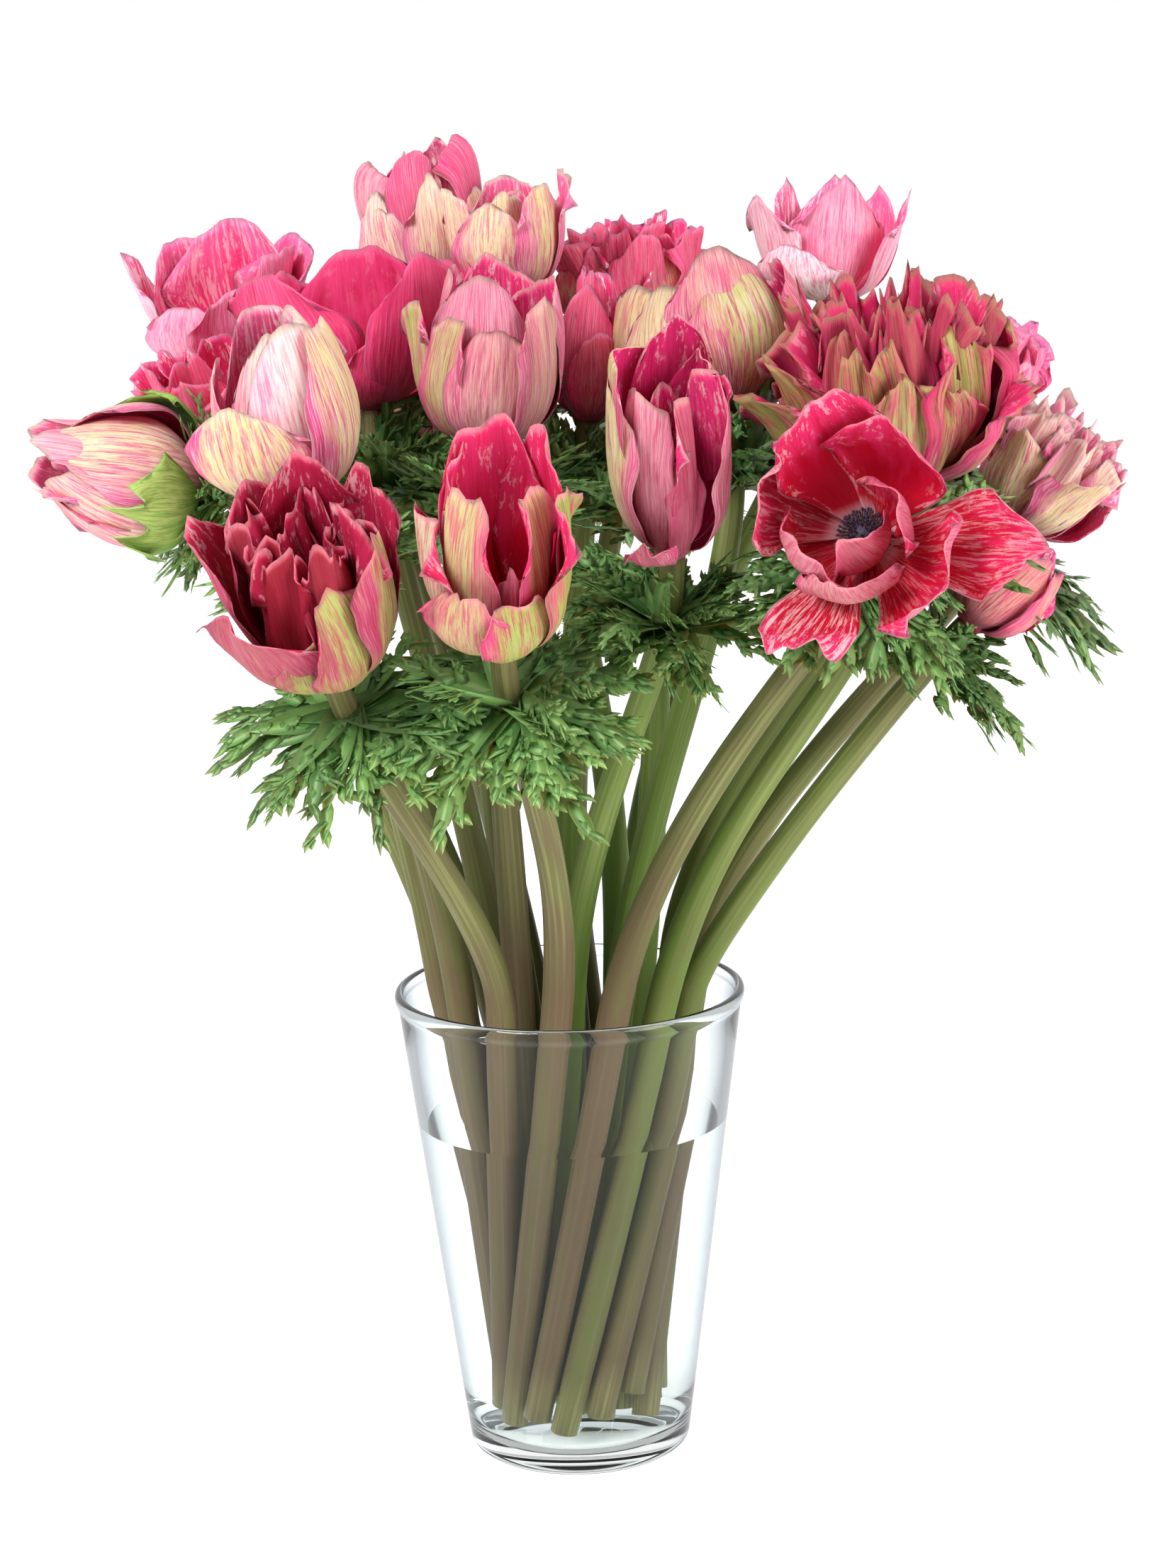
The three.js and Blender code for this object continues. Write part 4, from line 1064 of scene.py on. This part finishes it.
def stem_tones(flower, draws, along):
    """Brown near the head and low down, lighter above the water and at the cut."""
    brown = BROWNER.get(flower.number, draws.between(-0.15, 1.0))
    brown = brown + 1.4 * np.clip(0.35 - along, 0, 1) + 2.0 * np.clip(along - 0.62, 0, 1)
    light = draws.between(0.0, 0.3) + 0.45 * np.clip((along - 0.3) / 0.2, 0, 1)
    light = light + 0.5 * np.clip(1 - along / 0.035, 0, 1)
    return np.stack([np.clip(brown, 0, 1), light, np.full_like(light, draws.between(0, 40))], -1)


def stem_shape(flower):
    draws = flower.draws(STEM_SEED)
    line, radii = stem_line(flower)
    steps = np.linspace(0, 1, len(line))
    swelling = np.sin(17 * steps + draws.between(0, 6)) * np.sin(7 * steps + draws.between(0, 6))
    rings = turning_rings(line, radii * (1 + SWELL * swelling), STEM_SIDES)
    hollow_line = line[0] + unit(line[1] - line[0]) * np.array([[HOLLOW_DEPTH], [0.01]])
    hollow = turning_rings(hollow_line, np.array([HOLLOW_RADIUS * 0.7, HOLLOW_RADIUS]), STEM_SIDES)
    around = np.abs(np.linspace(-1, 1, STEM_SIDES, endpoint=False))
    along = np.concatenate([[0, 0], steps])
    tones = np.repeat(stem_tones(flower, draws, along), STEM_SIDES, axis=0)
    tones[:2 * STEM_SIDES] = HOLLOW_TONE
    shape = Shape()
    shape.add_tube(np.concatenate([hollow, rings]), around, along[:, None], tones)
    return shape


stem_shapes = {flower.number: stem_shape(flower) for flower in flowers}
print("points of one stem:", stem_shapes["01"].total)

# %% [markdown]
# Anemone leaves sit in a collar under the head. Each is a hand with many fingers: broad where it
# clasps the stem, then split and split again into narrow pointed strips that arch and droop. The
# solids' three lobed blades say where each leaf goes. They were bent until they were clear of their
# neighbours, so the lesson first finds which bend each one got.

# %% Where the leaves go
# turns round the stem and up, in degrees, and share of the reach, in the order the solids tried them
BENDS = [
    (0, 0, 1), (14, 0, 1), (-14, 0, 1), (0, 18, 1), (0, -18, 1), (26, 10, 1), (-26, 10, 1),
    (26, -12, 1), (-26, -12, 1), (0, 36, 1), (0, -36, 1), (38, -24, 1), (-38, -24, 1),
    (0, 0, 0.72), (20, 0, 0.72), (-20, 0, 0.72), (0, 24, 0.72), (0, -24, 0.72), (34, -20, 0.72),
    (-34, -20, 0.72), (0, 44, 0.72), (0, -44, 0.72),
]
TURN_SEED = 50
LEAVES = 3
DEPTH_IN_STEM = 1.5
SIDE_DROOP = 0.5
TIP_ALONG = 1.12
SAME_POINT = 0.1


def on_stem(flower, spot):
    return np.array([np.interp(spot, flower.line_length, flower.line[:, axis]) for axis in range(3)])


class Leaf:
    """A leaf's place: its root on the stem, the way it goes out, and how it rises and droops."""

    def __init__(self, flower, azimuth, lift, reach, droop):
        root = flower.line_length[-1] - flower.below
        self.centre = on_stem(flower, root)
        direction = on_stem(flower, root + 0.5) - on_stem(flower, root - 0.5)
        self.up, front, right = facing_axes(unit(direction))
        self.outwards = front * math.cos(azimuth) + right * math.sin(azimuth)
        self.sideways = np.cross(self.up, self.outwards)
        self.azimuth = azimuth
        self.lift = lift
        self.reach = reach
        self.droop = droop

    def place(self, across, along, above=0.0):
        """Points of the leaf in space. across and along are shares of its reach."""
        across, along, above = np.broadcast_arrays(across, along, above)
        out = DEPTH_IN_STEM + along * self.reach * math.cos(self.lift)
        rise = along * self.reach * math.sin(self.lift)
        points = self.centre + out[..., None] * self.outwards + rise[..., None] * self.up
        points = points + (across * self.reach)[..., None] * self.sideways
        face = unit(self.up * math.cos(self.lift) - self.outwards * math.sin(self.lift))
        points = points + (above * self.reach)[..., None] * face
        points[..., 2] -= self.droop * self.reach * (along**2 + SIDE_DROOP * across**2)
        return points


def find_leaf(flower, azimuth, corners):
    """The first bend that puts the leaf's tip on a corner of the solid."""
    for round_degrees, up_degrees, share in BENDS:
        turned_azimuth = azimuth + math.radians(round_degrees)
        lift = flower.lift + math.radians(up_degrees)
        leaf = Leaf(flower, turned_azimuth, lift, flower.reach * share, flower.droop)
        if np.min(np.linalg.norm(corners - leaf.place(0.0, TIP_ALONG), axis=1)) < SAME_POINT:
            return [leaf]
    return []


for flower in flowers:
    solid = frame["nodes"][f"stem_{flower.number}"].data
    corners = np.array([vertex.co for vertex in solid.vertices]) / MM
    turn = flower.draws(TURN_SEED).angle()
    flower.leaves = []
    for k in range(LEAVES):
        flower.leaves += find_leaf(flower, turn + FULL_TURN * k / LEAVES, corners)
print("leaves found in the solids:", sum(len(flower.leaves) for flower in flowers))

# %% [markdown]
# A leaf could be a picture on a flat card, but cards look thin from the side, and this collar is
# seen from all round. So each lobe, finger and tooth is a strip: a thin pointed blade with a
# lens-shaped section, drawn on the leaf's flat plan and then bent with it into space.

# %% Strips of a leaf
LEAF_THICKNESS = 0.45
THINNEST = 0.003


def add_strip(shape, leaf, path, widths, rise, bank, tone):
    """One pointed strip along a path in the leaf's plane, banked and folded along its rib."""
    direction = np.gradient(path, axis=0)
    direction /= np.linalg.norm(direction, axis=1, keepdims=True)
    normal = np.stack([-direction[:, 1], direction[:, 0]], -1)
    thick = LEAF_THICKNESS / leaf.reach * np.linspace(1, 0.4, len(path))
    fold = 0.3 * widths
    rings = []
    for side, above in ((1, bank * widths), (0, -fold), (-1, -bank * widths), (0, thick - fold)):
        across, along = (path + side * normal * widths[:, None]).T
        rings.append(leaf.place(across, along, rise + above))
    shape.add_tube(np.stack(rings, 1), [1, 0, 1, 0], np.linspace(0, 1, len(path))[:, None], tone)


def strip_widths(widest, start, steps):
    """Half widths along a strip: its start, its middle and its point."""
    t = np.linspace(0, 1, steps)
    return np.maximum(widest * (start + (1 - start) * np.sin(np.pi * t**0.8)) * (1 - t**4), THINNEST)


def curved_path(start, angle, length, turn, steps):
    """Points from start, leaving at an angle from straight ahead and turning on the way."""
    angles = math.radians(angle) + math.radians(turn) * np.linspace(0, 1, steps)
    moves = np.stack([np.sin(angles), np.cos(angles)], -1) * (length / (steps - 1))
    return np.array(start) + np.cumsum(np.concatenate([[[0, 0]], moves[:-1]]), axis=0)


def point_on(path, share):
    places = np.linspace(0, 1, len(path))
    return np.array([np.interp(share, places, path[:, axis]) for axis in (0, 1)])


# %% Fingers of a leaf
LOBE_STEPS = 8
FINGER_STEPS = 5
TOOTH_STEPS = 3
MAIN_LOBES = (-74, -37, 0, 37, 74)
LOBE_WIDTH = 0.115
FINGER_WIDTH = 0.056
TOOTH_WIDTH = 0.03
TOOTH_HOOK = 40
# share of the lobe where a finger starts, and its angle against the lobe
FINGERS = ((0.5, -34), (0.62, 32), (0.8, -30), (0.9, 27), (1.0, -6))
# share of the finger where a tooth starts, and its side
TEETH = ((0.45, -1), (0.65, 1))


def add_finger(shape, leaf, draws, spot, angle, length, start, bank, tone):
    """One finger with a short hooked tooth on each side."""
    turn = draws.between(-34, 34)
    finger = curved_path(spot, angle, length, turn, FINGER_STEPS)
    curl = draws.between(-0.14, 0.05)
    rise = start + curl * np.linspace(0, 1, FINGER_STEPS) ** 1.5
    add_strip(shape, leaf, finger, strip_widths(FINGER_WIDTH, 0.7, FINGER_STEPS), rise, bank, tone)
    for share, side in TEETH:
        share += draws.between(-0.1, 0.1)
        tooth_angle = angle + turn * share + side * draws.between(30, 48)
        tooth_length = draws.between(0.08, 0.14)
        spot = point_on(finger, share)
        tooth = curved_path(spot, tooth_angle, tooth_length, -side * TOOTH_HOOK, TOOTH_STEPS)
        rise = start + curl * share**1.5 + 0.4 * curl * np.linspace(0, 1, TOOTH_STEPS)
        add_strip(shape, leaf, tooth, strip_widths(TOOTH_WIDTH, 0.9, TOOTH_STEPS), rise, bank, tone)


def add_leaf(shape, leaf, draws):
    fresh = draws.between(0.1, 0.9)
    for lobe_angle in MAIN_LOBES:
        tone = (fresh * draws.between(0.6, 1.3), draws.between(0.3, 1.0), draws.between(0, 40))
        length = draws.between(0.66, 0.84) * (1 - 0.15 * abs(lobe_angle) / 70)
        start_angle = lobe_angle + draws.between(-8, 8)
        turn = draws.between(-30, 30)
        lobe = curved_path((0.0, 0.0), start_angle, length, turn, LOBE_STEPS)
        curl = draws.between(-0.24, 0.1)
        bank = draws.between(-0.4, 0.4)
        rise = curl * np.linspace(0, 1, LOBE_STEPS) ** 2
        add_strip(shape, leaf, lobe, strip_widths(LOBE_WIDTH, 0.85, LOBE_STEPS), rise, bank, tone)
        for share, side_angle in FINGERS:
            angle = start_angle + turn * share + side_angle + draws.between(-8, 8)
            length = draws.between(0.2, 0.3)
            add_finger(shape, leaf, draws, point_on(lobe, share), angle, length, curl * share**2, bank, tone)


# %% [markdown]
# The solids have only three leaves a collar. A real collar looks fuller, because its leaves are cut to
# the base, so each leaf gets a lower sister, and where the picture is densest an upper one too. All
# of them are a little larger than the solids' leaves and droop less, as fresh leaves do.

# %% Collars
LEAF_SEED = 700
GROWTH = 1.3
LESS_DROOP = 0.6
LIFT_MORE = 5
# collars that stand up round their head, in degrees above the solid's leaves
RAISED = {"03": 20, "05": 20, "07": 6, "09": 8, "10": 32, "16": 20, "18": 28, "20": 10}
# turn, lift and droop against the solid's leaf, and share of its reach
LOWER_LEAF = (60, -5, 0.08, 0.9)
UPPER_LEAF = (28, 34, -0.02, 0.8)
WITH_UPPER_LEAVES = ("03", "05", "08", "09", "10", "12", "13", "14", "16", "20")


def sister_leaf(flower, leaf, draws, turn, lift, droop, share):
    azimuth = leaf.azimuth + math.radians(turn + draws.between(-14, 14))
    return Leaf(flower, azimuth, leaf.lift + math.radians(lift), leaf.reach * share, leaf.droop + droop)


leaf_faces = 0
for flower in flowers:
    draws = flower.draws(LEAF_SEED)
    shape = Shape()
    leaves = flower.leaves + [sister_leaf(flower, leaf, draws, *LOWER_LEAF) for leaf in flower.leaves]
    if flower.number in WITH_UPPER_LEAVES:
        leaves += [sister_leaf(flower, leaf, draws, *UPPER_LEAF) for leaf in flower.leaves]
    for leaf in leaves:
        leaf.reach *= GROWTH
        leaf.droop *= LESS_DROOP
        leaf.lift += math.radians(RAISED.get(flower.number, LIFT_MORE))
        add_leaf(shape, leaf, draws)
    collar = shape.make(f"leaves_{flower.number}", leaf_material)
    stem = stem_shapes[flower.number].make(f"stalk_{flower.number}", stem_material)
    hand_over(collar, "stem", f"stem_{flower.number}")
    hand_over(stem, "stem", f"stem_{flower.number}")
    leaf_faces += len(collar.data.polygons)
print("leaf faces in all:", leaf_faces)

# %% [markdown]
# In an open head the blue-black middle shows: a low dome crowded with stamens, each a fine thread
# with a dark knob. A bumpy dome would do from far off, but not where the picture looks straight in.
# Threads stand out of the dome in a spiral, the way seeds sit in a sunflower.

# %% Eyes
STAMEN_SEED = 900
EYE_RADIUS = 5.2
EYE_RISE = 4.3
EYE_SIDES = 20
STAMENS = 110
STAMEN_SIDES = 6
GOLDEN = math.radians(137.5)
# along a stamen: how far before or past the middle of its knob, and its radius there
KNOB = ((-0.5, 0.16), (0, 0.5), (0.5, 0.42), (0.8, 0.1))

eye_material, wiring, shader = new_material("stamens", 0.6, Sheen_Weight=0.2)
speckle = wiring.noise(wiring.add("ShaderNodeTexCoord").outputs["Object"], 900.0, 2.0)
blue_black = wiring.mix(wiring.step(speckle, 0.4, 0.65), colour("181022"), colour("3c2e54"))
wiring.feed(shader["Base Color"], blue_black)


def add_eye(shape, flower):
    draws = flower.draws(STAMEN_SEED)
    circle = flower.circle(EYE_SIDES)
    middle = flower.base + flower.up * EYE_RISE
    shape.add_tube(np.array([
        middle + circle * EYE_RADIUS * math.cos(rise) + flower.up * EYE_RADIUS * 0.9 * math.sin(rise)
        for rise in np.linspace(0, 1.5, 8)
    ]))
    for k in range(STAMENS):
        share = (k + 0.5) / STAMENS
        rise = 1.45 * (1 - math.sqrt(share))
        out = flower.way(GOLDEN * k) * math.cos(rise) + flower.up * math.sin(rise)
        length = EYE_RADIUS + draws.between(0.4, 1.0) + 2.2 * share
        lengths = [EYE_RADIUS * 0.8] + [length + past for past, _ in KNOB]
        radii = [KNOB[0][1]] + [radius for _, radius in KNOB]
        line = middle + np.array(lengths)[:, None] * out
        shape.add_tube(turning_rings(line, np.array(radii), STAMEN_SIDES))


for flower in flowers:
    node = f"eye_{flower.number}"
    if node in frame["nodes"]:
        shape = Shape()
        add_eye(shape, flower)
        hand_over(shape.make(f"stamens_{flower.number}", eye_material), "eye", node)
        print("stamens in head", flower.number)

# %% [markdown]
# The vase is turned like a pot: half its outline is drawn and swept round. Many sides and rounded
# corners matter here, because glass shows every flat facet as a broken reflection. The water is a
# second turned solid that reaches a hair into the glass, so that no film of air shines between them.
# Neither casts a shadow or meets diffuse light, because the stems inside would be lit twice: once
# through the glass and once by light that the glass gathers, which shows as bright specks.

# %% Vase and water
RIM_RADIUS = 60
BASE_RADIUS = 38
LIP_OUT = 0.5
WALL = 3
WATER_LEVEL = 119
TURNED_SIDES = 128
AXIS = 0.05
FOOT_HOLLOW = 0.6
CORNER = 8
CORNER_TOP = FLOOR + 9
WALL_START = 24
OVERLAP = 0.12


def outer_radius(height):
    return BASE_RADIUS + (RIM_RADIUS - LIP_OUT - BASE_RADIUS) * (height / VASE_HEIGHT)


def wall(height, further_in=0.0):
    return (outer_radius(height) - further_in, height)


def lip(further_in, down):
    return (RIM_RADIUS - further_in, VASE_HEIGHT - down)


def rounded(corner_from, corner, corner_to, steps=6):
    """Points of a smooth corner between two points."""
    t = np.linspace(0, 1, steps)[:, None]
    a, b, c = (np.array(point, float) for point in (corner_from, corner, corner_to))
    return list(a * (1 - t) ** 2 + 2 * b * t * (1 - t) + c * t * t)


def turned(name, outline, material):
    """A clear solid of revolution. The outline runs from the axis round to the axis again."""
    angles = np.linspace(0, FULL_TURN, TURNED_SIDES, endpoint=False)
    circle = np.stack([np.cos(angles), np.sin(angles), np.ones(TURNED_SIDES)], -1)
    shape = Shape()
    shape.add_tube(np.array(outline)[:, None, [0, 0, 1]] * circle)
    piece = shape.make(name, material)
    piece.visible_shadow = False
    piece.visible_diffuse = False
    return piece


lip_foot = VASE_HEIGHT - 6
floor_edge = outer_radius(FLOOR) - WALL
vase_outline = [(AXIS, FOOT_HOLLOW), (BASE_RADIUS - 6, FOOT_HOLLOW)]
vase_outline += rounded((BASE_RADIUS - 5, 0), (BASE_RADIUS, 0), wall(4))
vase_outline += [wall(height) for height in np.linspace(20, lip_foot, 12)]
vase_outline += rounded(wall(lip_foot + 1), lip(0, 4), lip(0, 2))
vase_outline += rounded(lip(0.1, 1.4), lip(0.4, 0), lip(1.6, 0))
vase_outline += rounded(lip(2.0, 0), lip(3.3, 0.4), lip(3.3, 3))
vase_outline += [wall(height, WALL) for height in np.linspace(lip_foot - 2, WALL_START, 12)]
vase_outline += rounded(wall(CORNER_TOP, WALL), (floor_edge, FLOOR), (floor_edge - CORNER, FLOOR))
vase_outline += [(AXIS, FLOOR)]
hand_over(turned("glass_vase", vase_outline, glass_material), "glass", "vase")

water_wall = WALL - OVERLAP
bottom = FLOOR - OVERLAP
surface = WATER_LEVEL - 0.7
shore = outer_radius(surface) - water_wall
water_outline = [(AXIS, bottom)]
water_outline += rounded((floor_edge - CORNER, bottom), (floor_edge, bottom), wall(CORNER_TOP, water_wall))
water_outline += [wall(height, water_wall) for height in np.linspace(WALL_START, surface - 0.1, 9)]
water_outline += [(shore, surface), (shore - 0.1, surface), (shore - 1, surface), (AXIS, surface)]
hand_over(turned("still_water", water_outline, water_material), "water", "water")
print("outline points:", len(vase_outline), "of the vase,", len(water_outline), "of the water")

# %% [markdown]
# The floor is a pale sheet that fades into the white behind it. It is part of the stage, not of the
# bouquet. Glass would mirror so white a floor and lay a milky veil over the stems, which the picture
# doesn't show. So nothing mirrors the floor itself, and light that has been mirrored once on its way
# through the glass finds it darker.

# %% Floor
FLOOR_SIZE = 6
FLOOR_WHITE = (0.9, 0.9, 0.9, 1)
MIRRORED_GREY = (0.35, 0.35, 0.35, 1)

floor_material, wiring, shader = new_material(
    "pale floor", 0.6, Specular_IOR_Level=0.2, Emission_Strength=0.4
)
mirrored = wiring.math("MINIMUM", wiring.add("ShaderNodeLightPath").outputs["Glossy Depth"], 1.0)
wiring.feed(shader["Base Color"], wiring.mix(mirrored, FLOOR_WHITE, MIRRORED_GREY))
wiring.feed(shader["Emission Color"], wiring.mix(mirrored, WHITE, MIRRORED_GREY))
floor_mesh = bpy.data.meshes.new("floor")
edge = FLOOR_SIZE / 2
corners = [(-edge, -edge, 0), (edge, -edge, 0), (edge, edge, 0), (-edge, edge, 0)]
floor_mesh.from_pydata(corners, [], [(0, 1, 2, 3)])
floor_mesh.materials.append(floor_material)
floor = place_object("floor", floor_mesh)
floor.visible_glossy = False

# %% [markdown]
# The triangles that the dressing adds are counted, in all and in the piece that holds the most.

# %% Triangles
bpy.context.view_layer.update()
added = [piece for piece in bpy.data.objects if piece.type == "MESH" and piece.name not in frame["nodes"]]
triangles = {piece.name: sum(len(face.vertices) - 2 for face in piece.data.polygons) for piece in added}
fullest = max(triangles, key=triangles.get)
print("triangles added:", sum(triangles.values()), "most in one piece:", fullest, triangles[fullest])
